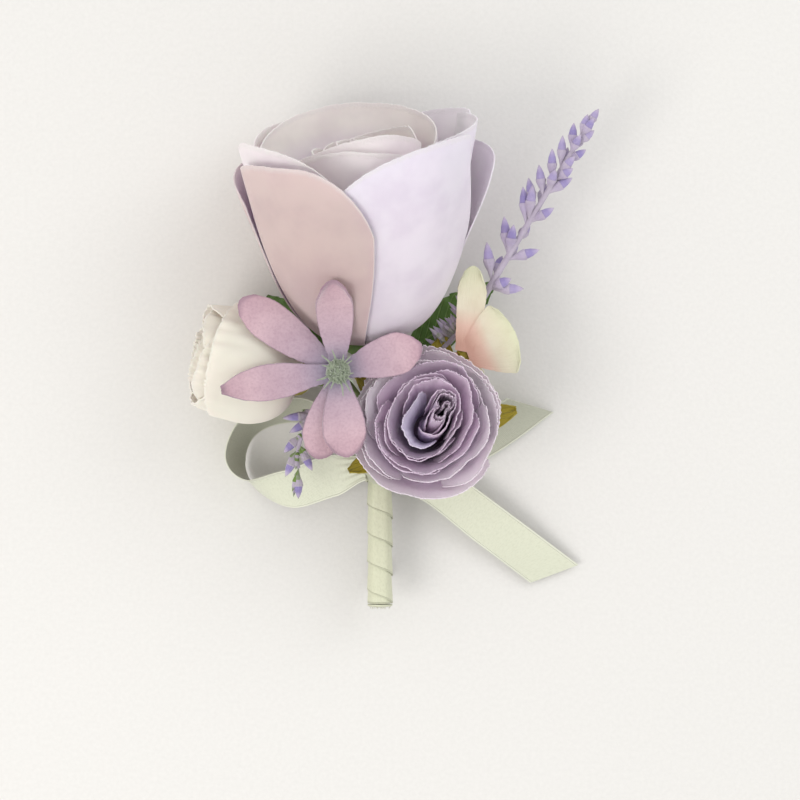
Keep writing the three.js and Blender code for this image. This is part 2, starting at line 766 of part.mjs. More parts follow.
// Degrees run from the flower's right (0) over its top (90).
const starLowerShares = [
  { angle: 144, length: 1, width: 1, rise: 0.03, lift: -0.07, round: 0.08, outline: roundShares },
  {
    angle: 17,
    length: 0.72,
    width: 1.04,
    rise: 0.03,
    lift: -0.07,
    round: 0.08,
    outline: roundShares,
  },
  {
    angle: 256,
    length: 0.74,
    width: 1,
    rise: -0.08,
    lift: -0.07,
    round: 0.07,
    outline: roundShares,
  },
];
const starUpperShares = [
  {
    angle: 93,
    length: 0.74,
    width: 0.92,
    rise: 0.415,
    lift: 0.05,
    round: 0.08,
    outline: roundShares,
  },
  { angle: 189, length: 0.97, width: 0.9, rise: 0.09, lift: 0.05, outline: pointedShares },
  {
    angle: 276,
    length: 0.71,
    width: 1.06,
    rise: -0.03,
    lift: 0.11,
    round: 0.07,
    outline: roundShares,
  },
];

function star() {
  const axis = new THREE.Vector3(0, 0, 1);
  const place = fromTop(STAR_X, STAR_Y, STAR_Z);
  const group = head(place, axis, new THREE.Vector3(0, 1, 0));
  stem("star_stem", 90, stemEnd(place, axis, STAR_CALYX_HEIGHT), axis, [0.2, 0.2]);
  add(group, "star_calyx", cup(STAR_CALYX_HEIGHT, 1.5 * BORE_RADIUS, STAR_CALYX_RADIUS), GREEN);
  const layer = STAR_CLOTH + SEAT;
  const felt = (shares) => bladedCloth(shares, STAR_REACH, STAR_WIDTH, STAR_DISC_RADIUS, STAR_CLOTH);
  add(group, "star_petals_lower", felt(starLowerShares).translate(0, 0, layer / 2 + SEAT / 2), MAUVE);
  add(group, "star_petals_upper", felt(starUpperShares).translate(0, 0, 1.5 * layer + SEAT / 2), MAUVE);

  const dome = turned(
    [
      [0, 0],
      [BUTTON_RADIUS, 0],
      [BUTTON_RADIUS, BUTTON_HEIGHT * 0.3],
      [BUTTON_RADIUS * 0.75, BUTTON_HEIGHT * 0.8],
      [0, BUTTON_HEIGHT],
    ],
    12,
  );
  const filaments = [];
  for (let k = 0; k < 13; k++) {
    const turn = (2 * Math.PI * k) / 13;
    const out = new THREE.Vector3(Math.cos(turn), Math.sin(turn), 0);
    const low = out.clone().multiplyScalar(BUTTON_RADIUS * 0.5);
    const high = out.clone().multiplyScalar(FILAMENT_REACH);
    low.z = BUTTON_HEIGHT * 0.3;
    high.z = BUTTON_HEIGHT * (0.7 + 0.2 * (k % 2));
    filaments.push(bar(new THREE.LineCurve3(low, high), FILAMENT_RADIUS, 1, 4));
  }
  const button = joined([dome, ...filaments]);
  add(group, "star_button", button.translate(0, 0, 2 * layer + SEAT), SAGE);
}

const floretShares = [
  {
    angle: 80,
    length: 1,
    width: 1,
    rise: 0.04,
    lift: 0.08,
    round: 0.08,
    bend: 0.16,
    outline: tallShares,
  },
  {
    angle: 18,
    length: 0.63,
    width: 2.25,
    rise: 0.04,
    lift: 0.12,
    round: 0.08,
    outline: broadShares,
  },
  { angle: 205, length: 0.33, width: 1.1, rise: -0.057, lift: 0.06, outline: broadShares },
  { angle: 285, length: 0.29, width: 1.1, rise: -0.057, lift: 0.06, outline: broadShares },
];

function floret() {
  const axis = new THREE.Vector3(0, 0, 1);
  const place = fromTop(FLORET_X, FLORET_Y, FLORET_Z);
  const group = head(place, axis, new THREE.Vector3(0, 1, 0));
  stem("floret_stem", 330, stemEnd(place, axis, FLORET_CALYX_HEIGHT), axis, [0.1, 0.1]);
  add(group, "floret_calyx", cup(FLORET_CALYX_HEIGHT, 1.5 * BORE_RADIUS, FLORET_CALYX_RADIUS), OLIVE);
  const blades = bladedCloth(floretShares, FLORET_REACH, FLORET_WIDTH, FLORET_DISC_RADIUS, FLORET_CLOTH);
  const bead = turned(
    [
      [0, 0],
      [FLORET_BEAD_RADIUS, 0],
      [FLORET_BEAD_RADIUS * 0.8, FLORET_BEAD_RADIUS * 0.8],
      [0, FLORET_BEAD_RADIUS],
    ],
    8,
  );
  const corolla = joined([blades, bead]).translate(0, 0, SEAT + FLORET_CLOTH / 2);
  add(group, "floret_corolla", corolla, PEACH);
}

// A leaf with a toothed edge, folded along its middle, on a short stalk whose foot rests on a stem or calyx.
function leaf(name, root, tip, teeth, foot) {
  const axis = tip.clone().sub(root);
  const length = axis.length();
  const out = axis.clone().normalize();
  const side = new THREE.Vector3(0, 0, 1).cross(out).normalize();
  const up = out.clone().cross(side);
  const place = (u, v) => {
    const w = 1 - 2 * u;
    const bite = 1 - (2 * LEAF_TOOTH * ((v * teeth) % 1)) / LEAF_WIDTH;
    const half = (LEAF_WIDTH / 2) * Math.max(0.1, Math.sin(Math.PI * lerp(0.06, 0.97, v) ** 0.85)) * bite;
    const rise = (LEAF_ARCH + LEAF_FOLD * Math.abs(w)) * Math.sin(Math.PI * v);
    const middle = sum(root, out.clone().multiplyScalar(length * v), up.clone().multiplyScalar(rise));
    return middle.addScaledVector(side, w * half);
  };
  const blade = sheet(place, 2, 2 * teeth, LEAF_WALL);
  const stalkTop = root.clone().addScaledVector(out, LEAF_LENGTH / 12);
  const stalk = bar(new THREE.LineCurve3(foot, stalkTop), PETIOLE_RADIUS, 1);
  add(corsage, name, joined([blade, stalk]), GREEN);
}

// Lavender

function budlet(from, to, size) {
  const length = from.distanceTo(to);
  const body = turned(
    [
      [0, 0],
      [BUDLET_RADIUS * size * 0.45, 0],
      [BUDLET_RADIUS * size, length * 0.62],
      [BUDLET_RADIUS * size * 0.7, length * 0.88],
      [0, length],
    ],
    5,
  );
  const out = to.clone().sub(from).normalize();
  const turn = new THREE.Quaternion().setFromUnitVectors(new THREE.Vector3(0, 0, 1), out);
  return body.applyQuaternion(turn).translate(from.x, from.y, from.z);
}

const sprigPairShares = [0.02, 0.13, 0.26, 0.4, 0.53, 0.65, 0.75, 0.83, 0.9, 0.96];

const sprigRoot = fromTop(SPRIG_X, SPRIG_Y, SPRIG_Z);
const sprigAxis = new THREE.Vector3(0.518, 0.853, 0.06).normalize();

function sprigStem() {
  const path = stemPath(270, sprigRoot, sprigAxis, [0.3, 0.3]);
  path.add(new THREE.LineCurve3(sprigRoot, sprigRoot.clone().addScaledVector(sprigAxis, SPRIG_LENGTH)));
  return path;
}

function sprig() {
  const across = new THREE.Vector3(0, 0, 1).cross(sprigAxis).normalize();
  const parts = [bar(sprigStem(), STEM_RADIUS, 24)];
  sprigPairShares.forEach((share, k) => {
    const size = 1 - 0.45 * share;
    for (const side of [-1, 1]) {
      const from = sprigRoot.clone().addScaledVector(sprigAxis, SPRIG_LENGTH * (share + 0.015 * (side + 1)));
      const to = from.clone().addScaledVector(sprigAxis, BUDLET_LENGTH * size);
      to.addScaledVector(across, side * SPRIG_SPREAD * size * (k % 2 ? 1 : 0.7));
      to.z += BUDLET_RADIUS * (k % 3);
      parts.push(budlet(from, to, size));
    }
  });
  add(corsage, "lavender_sprig", joined(parts), LAVENDER);
}

// The short shoot climbs out of the bundle, then hangs to the lower left.
const shootShares = {
  rise: [
    [-0.07, 0.23, -0.045],
    [-0.455, 0.364, -0.068],
  ],
  crest: [-0.727, 0.382, 0.477],
  fall: [
    [-0.955, 0.295, 0.614],
    [-1.045, -0.091, 0.614],
  ],
  end: [-1, -0.277, 0.568],
};

function shoot() {
  const exit = stemExit(210);
  const at = (shares) => fromTop(...shares.map((share) => share * SHOOT_REACH));
  const crest = at(shootShares.crest);
  const end = at(shootShares.end);
  const path = new THREE.CurvePath();
  path.add(new THREE.LineCurve3(exit.clone().setY(handleFoot), exit));
  path.add(new THREE.CubicBezierCurve3(exit, ...shootShares.rise.map(at), crest));
  path.add(new THREE.CubicBezierCurve3(crest, ...shootShares.fall.map(at), end));
  const parts = [bar(path, STEM_RADIUS, 30)];
  for (let k = 0; k < 8; k++) {
    const from = path.getPoint(0.72 + 0.035 * k);
    const side = k % 2 ? 1 : -1;
    const reach = new THREE.Vector3(side * SPRIG_SPREAD * 0.6, -BUDLET_LENGTH * 0.6, BUDLET_RADIUS);
    parts.push(budlet(from, sum(from, reach), 0.9));
  }
  parts.push(budlet(end, end.clone().add(new THREE.Vector3(0, -BUDLET_LENGTH, 0)), 1));
  add(corsage, "lavender_shoot", joined(parts), LAVENDER);
}

// Ribbon

// A ribbon on a fitted centre line that starts at a point of the knot. Each further row gives a point from
// the top of the handle in shares of the ribbon's reach, the direction across the ribbon, and its width in
// shares of the full width.
function ribbon(name, start, reach, rowShares, steps, cutBy = 0) {
  const points = rowShares.map(({ at }) => (at ? fromTop(...at.map((share) => share * reach)) : start));
  const line = new THREE.CatmullRomCurve3(points, false, "centripetal");
  const across = new THREE.CatmullRomCurve3(rowShares.map((row) => new THREE.Vector3(...row.across)));
  const place = (u, v) => {
    const k = v * (rowShares.length - 1);
    const row = Math.min(Math.floor(k), rowShares.length - 2);
    const width = RIBBON_WIDTH * lerp(rowShares[row].width, rowShares[row + 1].width, smooth(k - row));
    const tangent = line.getTangent(v);
    const side = across.getPoint(v);
    side.addScaledVector(tangent, -side.dot(tangent)).normalize();
    const slant = cutBy * (0.5 - u) * smooth(3 * v - 2);
    return line.getPoint(v).addScaledVector(side, (u - 0.5) * width).addScaledVector(tangent, slant);
  };
  let length = 0;
  for (let k = 0; k < 60; k++) length += place(0.5, k / 60).distanceTo(place(0.5, (k + 1) / 60));
  console.log(`${name}: ${length.toFixed(1)} mm long`);
  add(corsage, name, sheet(place, 2, steps, RIBBON_CLOTH), SATIN);
}

const loopShares = [
  { across: [0, 1, 0], width: 0.583 },
  { at: [-0.36, -0.218, 0.066], across: [0, 0.94, 0.34], width: 1 },
  { at: [-0.62, -0.304, -0.025], across: [0.05, 0.85, 0.52], width: 1 },
  { at: [-0.871, -0.278, -0.132], across: [-0.2, 0.3, 0.93], width: 1 },
  { at: [-1, -0.111, -0.142], across: [-0.42, 0.1, 0.9], width: 1 },
  { at: [-0.939, 0.09, -0.162], across: [-0.36, 0.3, 0.88], width: 1 },
  { at: [-0.78, 0.202, -0.18], across: [-0.2, 0.48, 0.85], width: 1 },
  { at: [-0.519, 0.233, -0.187], across: [0, 0.6, 0.8], width: 1 },
  { at: [-0.261, 0.051, -0.111], across: [0.1, 0.5, 0.85], width: 0.8 },
  { at: [-0.111, -0.137, 0], across: [0, 0.3, 0.95], width: 0.408 },
];
const lowerTailShares = [
  { across: [0.5, 0.86, 0], width: 0.35 },
  { at: [0.25, -0.187, -0.081], across: [0.6, 0.8, -0.1], width: 0.9 },
  { at: [0.58, -0.428, -0.154], across: [0.6, 0.8, 0.15], width: 1 },
  { at: [0.881, -0.653, -0.206], across: [0.6, 0.8, 0.1], width: 1 },
];
const sideTailShares = [
  { across: [-0.2, 0.95, 0], width: 0.35 },
  { at: [0.269, -0.106, 0.028], across: [-0.2, 0.9, 0.1], width: 0.7 },
  { at: [0.6, 0.028, -0.172], across: [-0.28, 0.9, 0.1], width: 1 },
  { at: [0.949, 0.248, -0.202], across: [-0.27, 0.8, 0.5], width: 1 },
];

function bow() {
  const ring = (u, v) => {
    const turn = -2 * Math.PI * u;
    const r = TIE_INNER + RIBBON_CLOTH / 2;
    const at = new THREE.Vector3(r * Math.cos(turn), TIE_WIDTH * (v - 0.5), r * Math.sin(turn));
    return at.add(new THREE.Vector3(BUNDLE_X, TIE_Y, HANDLE_Z));
  };
  add(corsage, "ribbon_tie", sheet(ring, 20, 1, RIBBON_CLOTH, true), SATIN);
  const knot = turned(
    [
      [0, -1],
      [0.55, -0.9],
      [0.9, -0.45],
      [1, 0],
      [0.9, 0.45],
      [0.55, 0.9],
      [0, 1],
    ],
    14,
  );
  knot.rotateX(-Math.PI / 2).scale(KNOT_WIDTH / 2, KNOT_LENGTH / 2, KNOT_HEIGHT / 2);
  const knotZ = TIE_OUTER + SEAT + KNOT_HEIGHT / 2;
  add(corsage, "ribbon_knot", knot.translate(BUNDLE_X, TIE_Y, HANDLE_Z + knotZ), SATIN);

  const side = KNOT_WIDTH / 2 + SEAT;
  ribbon("ribbon_loop", fromTop(-side, -TIE_FROM_TOP, knotZ), LOOP_REACH, loopShares, 30);
  const low = fromTop(side, -TIE_FROM_TOP - KNOT_LENGTH / 6, knotZ - 0.8 * KNOT_HEIGHT);
  ribbon("ribbon_tail_lower", low, LOWER_TAIL_REACH, lowerTailShares, 12, -LOWER_TAIL_CUT);
  const high = fromTop(side, -TIE_FROM_TOP + KNOT_LENGTH / 4, knotZ + 0.1 * KNOT_HEIGHT);
  ribbon("ribbon_tail_side", high, SIDE_TAIL_REACH, sideTailShares, 12, SIDE_TAIL_CUT);
}

// Bar pin

const BAR_TOP_Y = TIE_Y - TIE_WIDTH / 2 - BAR_BELOW_TIE;
const HINGE_Y = BAR_TOP_Y - BAR_END_MARGIN;
const CATCH_Y = BAR_TOP_Y - BAR_LENGTH + BAR_END_MARGIN;
const EYE_RADIUS = HINGE_PIN_RADIUS + HINGE_SLIP + EYE_WALL;

// An upright rod or bore along X or Y, centred at a point.
function rod(radius, length, along, x, y, z, segments = 20) {
  const geometry = new THREE.CylinderGeometry(radius, radius, length, segments);
  if (along === "x") geometry.rotateZ(Math.PI / 2);
  if (along === "z") geometry.rotateX(Math.PI / 2);
  return geometry.translate(x, y, z);
}

const block = (width, depth, height, x, y, z) =>
  new THREE.BoxGeometry(width, depth, height).translate(x, y, z);

// A wedge that opens downwards from the catch's axis, for the mouth of the housing.
function mouth(halfAngle, length, depth) {
  const corner = depth * Math.tan(radians(halfAngle));
  const shape = new THREE.Shape();
  shape.moveTo(0, 0);
  shape.lineTo(-corner, -depth);
  shape.lineTo(corner, -depth);
  shape.closePath();
  const wedge = new THREE.ExtrudeGeometry(shape, { depth: length, bevelEnabled: false });
  return wedge.translate(0, 0, -length / 2).rotateX(Math.PI / 2);
}

function barPlate() {
  const half = BAR_WIDTH / 2;
  const shape = new THREE.Shape();
  shape.moveTo(-half + BAR_END_RADIUS, 0);
  shape.lineTo(half - BAR_END_RADIUS, 0);
  shape.lineTo(half, BAR_END_RADIUS);
  shape.lineTo(half, BAR_LENGTH - BAR_END_RADIUS);
  shape.lineTo(half - BAR_END_RADIUS, BAR_LENGTH);
  shape.lineTo(-half + BAR_END_RADIUS, BAR_LENGTH);
  shape.lineTo(-half, BAR_LENGTH - BAR_END_RADIUS);
  shape.lineTo(-half, BAR_END_RADIUS);
  shape.closePath();
  const plate = new THREE.ExtrudeGeometry(shape, { depth: BAR_WALL, bevelEnabled: false });
  return plate.translate(BUNDLE_X, BAR_TOP_Y - BAR_LENGTH, BAR_Z);
}

const holeShares = [0.32, 0.68];
const holeYs = holeShares.map((share) => lerp(CATCH_Y, HINGE_Y, share));

function pinBar() {
  const earX = EYE_WIDTH / 2 + HINGE_SLIP + EAR_WALL / 2;
  const drop = BAR_Z - NEEDLE_Z;
  const parts = [barPlate()];
  for (const side of [-1, 1]) {
    const x = BUNDLE_X + side * earX;
    const height = drop + BAR_WALL / 2;
    parts.push(block(EAR_WALL, 2 * EYE_RADIUS, height, x, HINGE_Y, NEEDLE_Z + height / 2));
    parts.push(rod(EYE_RADIUS, EAR_WALL, "x", x, HINGE_Y, NEEDLE_Z));
  }
  parts.push(rod(HOUSING_OUTER, CATCH_WIDTH, "y", BUNDLE_X, CATCH_Y, NEEDLE_Z, 28));
  const post = drop - HOUSING_OUTER + BAR_WALL;
  parts.push(block(2 * CATCH_WALL, CATCH_WIDTH, post, BUNDLE_X, CATCH_Y, BAR_Z + BAR_WALL / 2 - post / 2));
  const tools = [
    rod(HOUSING_INNER, 2 * CATCH_WIDTH, "y", BUNDLE_X, CATCH_Y, NEEDLE_Z, 28),
    mouth(CATCH_MOUTH_ANGLE, 2 * CATCH_WIDTH, 2 * HOUSING_OUTER).translate(BUNDLE_X, CATCH_Y, NEEDLE_Z),
    rod(HINGE_PIN_RADIUS + HINGE_SLIP, 2 * BAR_WIDTH, "x", BUNDLE_X, HINGE_Y, NEEDLE_Z),
    ...holeYs.map((y) => rod(BAR_HOLE_RADIUS, 3 * BAR_WALL, "z", BUNDLE_X, y, BAR_Z)),
  ];
  return cut(joined(parts), tools);
}

function needle() {
  const tipY = CATCH_Y - CATCH_WIDTH / 2 - CATCH_FLANGE_WALL - NEEDLE_PAST_CATCH;
  const length = HINGE_Y - tipY - NEEDLE_TAPER;
  const shaft = turned(
    [
      [0, 0],
      [NEEDLE_RADIUS, NEEDLE_TAPER],
      [NEEDLE_RADIUS, NEEDLE_TAPER + length],
      [0, NEEDLE_TAPER + length],
    ],
    12,
  );
  shaft.rotateX(-Math.PI / 2).translate(BUNDLE_X, tipY, NEEDLE_Z);
  const eye = rod(EYE_RADIUS, EYE_WIDTH, "x", BUNDLE_X, HINGE_Y, NEEDLE_Z);
  const bore = rod(HINGE_PIN_RADIUS + HINGE_SLIP, 2 * EYE_WIDTH, "x", BUNDLE_X, HINGE_Y, NEEDLE_Z);
  return cut(joined([shaft, eye]), [bore]);
}

function rivet() {
  const reach = EYE_WIDTH / 2 + HINGE_SLIP + EAR_WALL + HINGE_SLIP;
  const total = 2 * (reach + RIVET_HEAD_WALL);
  const parts = [rod(HINGE_PIN_RADIUS, total, "x", BUNDLE_X, HINGE_Y, NEEDLE_Z)];
  for (const side of [-1, 1]) {
    const x = BUNDLE_X + side * (reach + RIVET_HEAD_WALL / 2);
    parts.push(rod(RIVET_HEAD_RADIUS, RIVET_HEAD_WALL, "x", x, HINGE_Y, NEEDLE_Z));
  }
  return joined(parts);
}

// A slotted barrel whose flanges hold it in the housing. Its tab turns it by hand.
function rotor() {
  const parts = [rod(ROTOR_OUTER, CATCH_WIDTH + 2 * CATCH_SLIP, "y", 0, 0, 0, 28)];
  for (const side of [-1, 1]) {
    const y = side * (CATCH_WIDTH / 2 + CATCH_SLIP + CATCH_FLANGE_WALL / 2);
    parts.push(rod(HOUSING_INNER + CATCH_WALL / 2, CATCH_FLANGE_WALL, "y", 0, y, 0, 28));
  }
  const tabReach = ROTOR_OUTER + CATCH_TAB;
  const tabWidth = 2 * ROTOR_OUTER * Math.sin(radians(TAB_HALF_ANGLE));
  const tab = block(tabWidth, CATCH_WIDTH * 0.8, tabReach - ROTOR_INNER, 0, 0, 0);
  tab.translate(0, 0, -(tabReach + ROTOR_INNER) / 2).rotateY(radians(CATCH_TURN_ANGLE / 2));
  const slot = block(2 * ROTOR_INNER, 3 * CATCH_WIDTH, 2 * HOUSING_OUTER, 0, 0, -HOUSING_OUTER);
  const body = cut(joined([...parts, tab]), [rod(ROTOR_INNER, 3 * CATCH_WIDTH, "y", 0, 0, 0), slot]);
  return body.translate(BUNDLE_X, CATCH_Y, NEEDLE_Z);
}

function glueBed() {
  const width = BAR_WIDTH - 2 * GLUE_INSET;
  const length = HINGE_Y - CATCH_Y;
  const middleY = (HINGE_Y + CATCH_Y) / 2;
  const bed = block(width, length, HANDLE_RADIUS, BUNDLE_X, middleY, GLUE_Z + HANDLE_RADIUS / 2);
  const top = GLUE_Z + 2 * GLUE_DEPTH + HANDLE_RADIUS / 2;
  const stud = (y) => rod(BAR_HOLE_RADIUS - SEAT, BAR_WALL + SEAT, "z", BUNDLE_X, y, GLUE_Z - BAR_WALL / 2);
  const studs = holeYs.map(stud);
  const handleRoom = rod(HANDLE_RADIUS + SEAT, 2 * length, "y", BUNDLE_X, middleY, HANDLE_Z, 40);
  return cut(joined([bed, ...studs]), [
    handleRoom,
    block(2 * width, 2 * length, HANDLE_RADIUS, BUNDLE_X, middleY, top),
  ]);
}

function pin() {
  add(corsage, "glue_bed", glueBed(), GLUE);
  add(corsage, "pin_bar", pinBar(), STEEL);
  add(corsage, "pin_needle", needle(), STEEL);
  add(corsage, "pin_rivet", rivet(), STEEL);
  add(corsage, "catch_rotor", rotor(), STEEL);
}

handle();
rose();
teaRose();
bud();
star();
floret();
const leafShares = {
  leftRoot: [-0.27, 0.47, -0.04],
  leftTip: [-0.62, 0.82, -0.16],
  leftFoot: [-0.208, 0.408, -0.02],
  rightRoot: [0.16, 0.5, -0.07],
  rightTip: [0.64, 0.9, -0.11],
};
const leafPoint = (name) => fromTop(...leafShares[name].map((share) => share * LEAF_SPREAD));
leaf("leaf_left", leafPoint("leftRoot"), leafPoint("leftTip"), 6, leafPoint("leftFoot"));
// The right leaf is wired under the lavender's stem.
const perch = sprigStem().getPoint(SPRIG_PERCH_SHARE);
perch.z -= STEM_RADIUS + PETIOLE_RADIUS + SEAT;
leaf("leaf_right", leafPoint("rightRoot"), leafPoint("rightTip"), 7, perch);
sprig();
shoot();
bow();
pin();

// The box's middle stands over the origin and its lowest point on the table.
corsage.updateMatrixWorld(true);
const box = new THREE.Box3().setFromObject(corsage, true);
const size = box.getSize(new THREE.Vector3());
const shift = box.getCenter(new THREE.Vector3()).negate().setZ(-box.min.z);
corsage.children.forEach((child) => child.position.add(shift));
const said = (numbers) => numbers.map((x) => x.toFixed(3)).join(", ");
const placed = (point) => said(point.map((x, k) => x + shift.toArray()[k]));
console.log(`size ${said(size.toArray())}, shift ${said(shift.toArray())}`);
console.log(`hinge ${placed([BUNDLE_X, HINGE_Y, NEEDLE_Z])}`);
console.log(`catch ${placed([BUNDLE_X, CATCH_Y, NEEDLE_Z])}`);
console.log(`bar face ${placed([BUNDLE_X, (HINGE_Y + CATCH_Y) / 2, BAR_Z])}`);

export default corsage;
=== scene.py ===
# %% [markdown]
# # A pin-on corsage of fabric flowers
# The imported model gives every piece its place: this script loads it, dresses its solids in cloth, felt,
# satin and wire, and leaves the steel pin as it is. All tables are in millimetres, because that is how a
# florist measures; they are turned into Blender's metres at the last moment.

# %% Load the model
import math

import bpy
import numpy as np
from mathutils import Matrix, Vector


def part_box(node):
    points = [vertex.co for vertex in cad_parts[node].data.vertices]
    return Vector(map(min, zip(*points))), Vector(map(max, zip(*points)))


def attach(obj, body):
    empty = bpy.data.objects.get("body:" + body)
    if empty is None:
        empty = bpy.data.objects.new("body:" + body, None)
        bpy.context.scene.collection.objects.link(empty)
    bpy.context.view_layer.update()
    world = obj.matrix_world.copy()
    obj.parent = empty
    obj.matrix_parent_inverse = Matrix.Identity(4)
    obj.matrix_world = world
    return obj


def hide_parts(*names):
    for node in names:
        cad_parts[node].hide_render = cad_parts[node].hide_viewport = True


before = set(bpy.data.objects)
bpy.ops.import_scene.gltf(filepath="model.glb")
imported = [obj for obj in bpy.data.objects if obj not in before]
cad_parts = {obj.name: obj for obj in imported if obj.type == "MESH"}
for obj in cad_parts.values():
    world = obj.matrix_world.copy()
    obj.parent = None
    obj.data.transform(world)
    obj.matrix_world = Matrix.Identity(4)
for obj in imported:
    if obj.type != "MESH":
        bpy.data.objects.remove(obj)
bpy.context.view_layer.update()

MM = 0.001
TAU = 2 * math.pi
GOLDEN_ANGLE = 137.5
BODY = "corsage_body"
scene = bpy.context.scene
scene.view_settings.view_transform = "Standard"

# %% [markdown]
# ## Camera
# The corsage was photographed from straight above, so the camera looks down and its top edge points along
# the corsage. A long lens from 1.2 m keeps the flowers from bulging towards the viewer.

# %% Camera
CAMERA_HEIGHT = 1200
PIXELS_PER_MM = 3.7
FLOWER_LEVEL = 25
SENSOR = 36
PICTURE = 800
camera = bpy.data.objects.new("camera", bpy.data.cameras.new("camera"))
scene.collection.objects.link(camera)
scene.camera = camera
camera.data.sensor_width = SENSOR
camera.data.lens = SENSOR * PIXELS_PER_MM * (CAMERA_HEIGHT - FLOWER_LEVEL) / PICTURE
camera.location = (0.4 * MM, -12.8 * MM, CAMERA_HEIGHT * MM)

# %% [markdown]
# ## Table and light
# A pale table top shows the outline of pale flowers and takes their shadow. One broad lamp from the lower
# left models the petals, a cooler one from the upper right opens the shadows, and an even sky does the
# rest. Together they show a flat surface a shade lighter than it is painted.

# %% Table
bpy.ops.object.select_all(action="DESELECT")
bpy.ops.mesh.primitive_plane_add(size=6, location=(0, 0, -0.2 * MM))
table = bpy.context.object
table.name = "table_top"

# %% Light


def soft_lamp(name, place, size, power, colour):
    lamp = bpy.data.lights.new(name, "AREA")
    lamp.shape = "DISK"
    lamp.size = size
    lamp.energy = power
    lamp.color = colour
    holder = bpy.data.objects.new(name, lamp)
    scene.collection.objects.link(holder)
    holder.location = place
    holder.rotation_euler = Vector(place).to_track_quat("Z", "Y").to_euler()


soft_lamp("window", (-0.55, -0.35, 0.75), 0.5, 3.1, (1, 0.975, 0.95))
soft_lamp("room", (0.6, 0.5, 0.7), 0.7, 2.2, (0.94, 0.97, 1))
scene.world = bpy.data.worlds.new("sky")
scene.world.use_nodes = True
scene.world.node_tree.nodes["Background"].inputs["Color"].default_value = (1, 1, 1, 1)
scene.world.node_tree.nodes["Background"].inputs["Strength"].default_value = 0.92

# %% [markdown]
# ## Shader maths as plain expressions
# A material is a tree of nodes. Wrapping an output socket in a small class lets a sum such as `mask * 0.5 +
# grain` be written as it is read, while the class adds the Math nodes behind it.

# %% Wires


def found(sockets, key):
    """A socket by its number, its identifier or its name."""
    if isinstance(key, int):
        return sockets[key]
    return next((s for s in sockets if s.identifier == key), None) or sockets[key]


class Wire:
    """An output socket of a node tree, with arithmetic on its value."""

    def __init__(self, tree, socket=None):
        self.tree, self.socket = tree, socket

    def node(self, kind, settings=(), inputs=(), output=0):
        made = self.tree.nodes.new("ShaderNode" + kind)
        for name, value in dict(settings).items():
            if name == "stops":
                self.set_stops(made.color_ramp, value)
            else:
                setattr(made, name, value)
        for name, value in dict(inputs).items():
            socket = found(made.inputs, name)
            if isinstance(value, Wire):
                self.tree.links.new(value.socket, socket)
            else:
                socket.default_value = value
        return Wire(self.tree, found(made.outputs, output))

    @staticmethod
    def set_stops(ramp, stops):
        for place, colour in stops[2:]:
            ramp.elements.new(place)
        for element, (place, colour) in zip(ramp.elements, stops):
            element.position = place
            element.color = colour

    def math(self, operation, *values):
        return self.node("Math", {"operation": operation}, dict(enumerate(values)))

    def own(self, operation):
        """An operation on this value alone."""
        return self.math(operation, self)

    def part(self, axis):
        """One coordinate of a vector."""
        return self.node("SeparateXYZ", {}, {"Vector": self}, axis)

    def __add__(self, other):
        return self.math("ADD", self, other)

    def __sub__(self, other):
        return self.math("SUBTRACT", self, other)

    def __rsub__(self, other):
        return self.math("SUBTRACT", other, self)

    def __mul__(self, other):
        return self.math("MULTIPLY", self, other)


# %% Words for shaders


def paint(code):
    """A colour written as on a web page, turned into the linear colour that a shader wants."""
    parts = [int(code[k : k + 2], 16) / 255 for k in (0, 2, 4)]
    return (*[p / 12.92 if p <= 0.04045 else ((p + 0.055) / 1.055) ** 2.4 for p in parts], 1)


def shades(value, *stops):
    """A colour that follows a value from 0 to 1."""
    return value.node("ValToRGB", {"stops": [(place, paint(code)) for place, code in stops]}, {"Fac": value})


def over(factor, below, above):
    """One colour laid over another."""
    inputs = {"Factor_Float": factor, "A_Color": below, "B_Color": above}
    return factor.node("Mix", {"data_type": "RGBA"}, inputs, "Result_Color")


def tinted(colour, amount, tint):
    """A colour multiplied by a tint."""
    inputs = {"Factor_Float": amount, "A_Color": colour, "B_Color": tint}
    return colour.node("Mix", {"data_type": "RGBA", "blend_type": "MULTIPLY"}, inputs, "Result_Color")


def grain(place, scale, detail=2.0):
    """Noise from 0 to 1 at a scale in waves per unit of place."""
    return place.node("TexNoise", {}, {"Vector": place, "Scale": scale, "Detail": detail}, "Fac")


def step(value, low, high):
    """0 below low, 1 above high and smooth between."""
    inputs = {"Value": value, "From Min": low, "From Max": high}
    return value.node("MapRange", {"interpolation_type": "SMOOTHSTEP"}, inputs, "Result")


def finish(material, colour, roughness, relief, depth, **constants):
    """Ties colour, roughness and relief, a height in shares of depth millimetres, to the shader."""
    shader = material.node_tree.nodes["Principled BSDF"]
    material.node_tree.links.new(colour.socket, shader.inputs["Base Color"])
    if isinstance(roughness, Wire):
        material.node_tree.links.new(roughness.socket, shader.inputs["Roughness"])
    else:
        shader.inputs["Roughness"].default_value = roughness
    bump = colour.node("Bump", {}, {"Height": relief, "Distance": depth * MM, "Strength": 1.0}, "Normal")
    material.node_tree.links.new(bump.socket, shader.inputs["Normal"])
    for name, value in constants.items():
        shader.inputs[name.replace("_", " ")].default_value = value
    return material


def blank(name):
    """A new material, a wire into its tree, and the place of the shaded point in the object."""
    material = bpy.data.materials.new(name)
    material.use_nodes = True
    wire = Wire(material.node_tree)
    return material, wire, wire.node("TexCoord", output="Object")


# %% Table paint
material, _, where = blank("table_paint")
speck = grain(where, 900, 3.0)
colour = shades(speck, (0.3, "dcdad6"), (0.7, "e0deda"))
table.data.materials.append(finish(material, colour, 0.7, speck, 0.05))

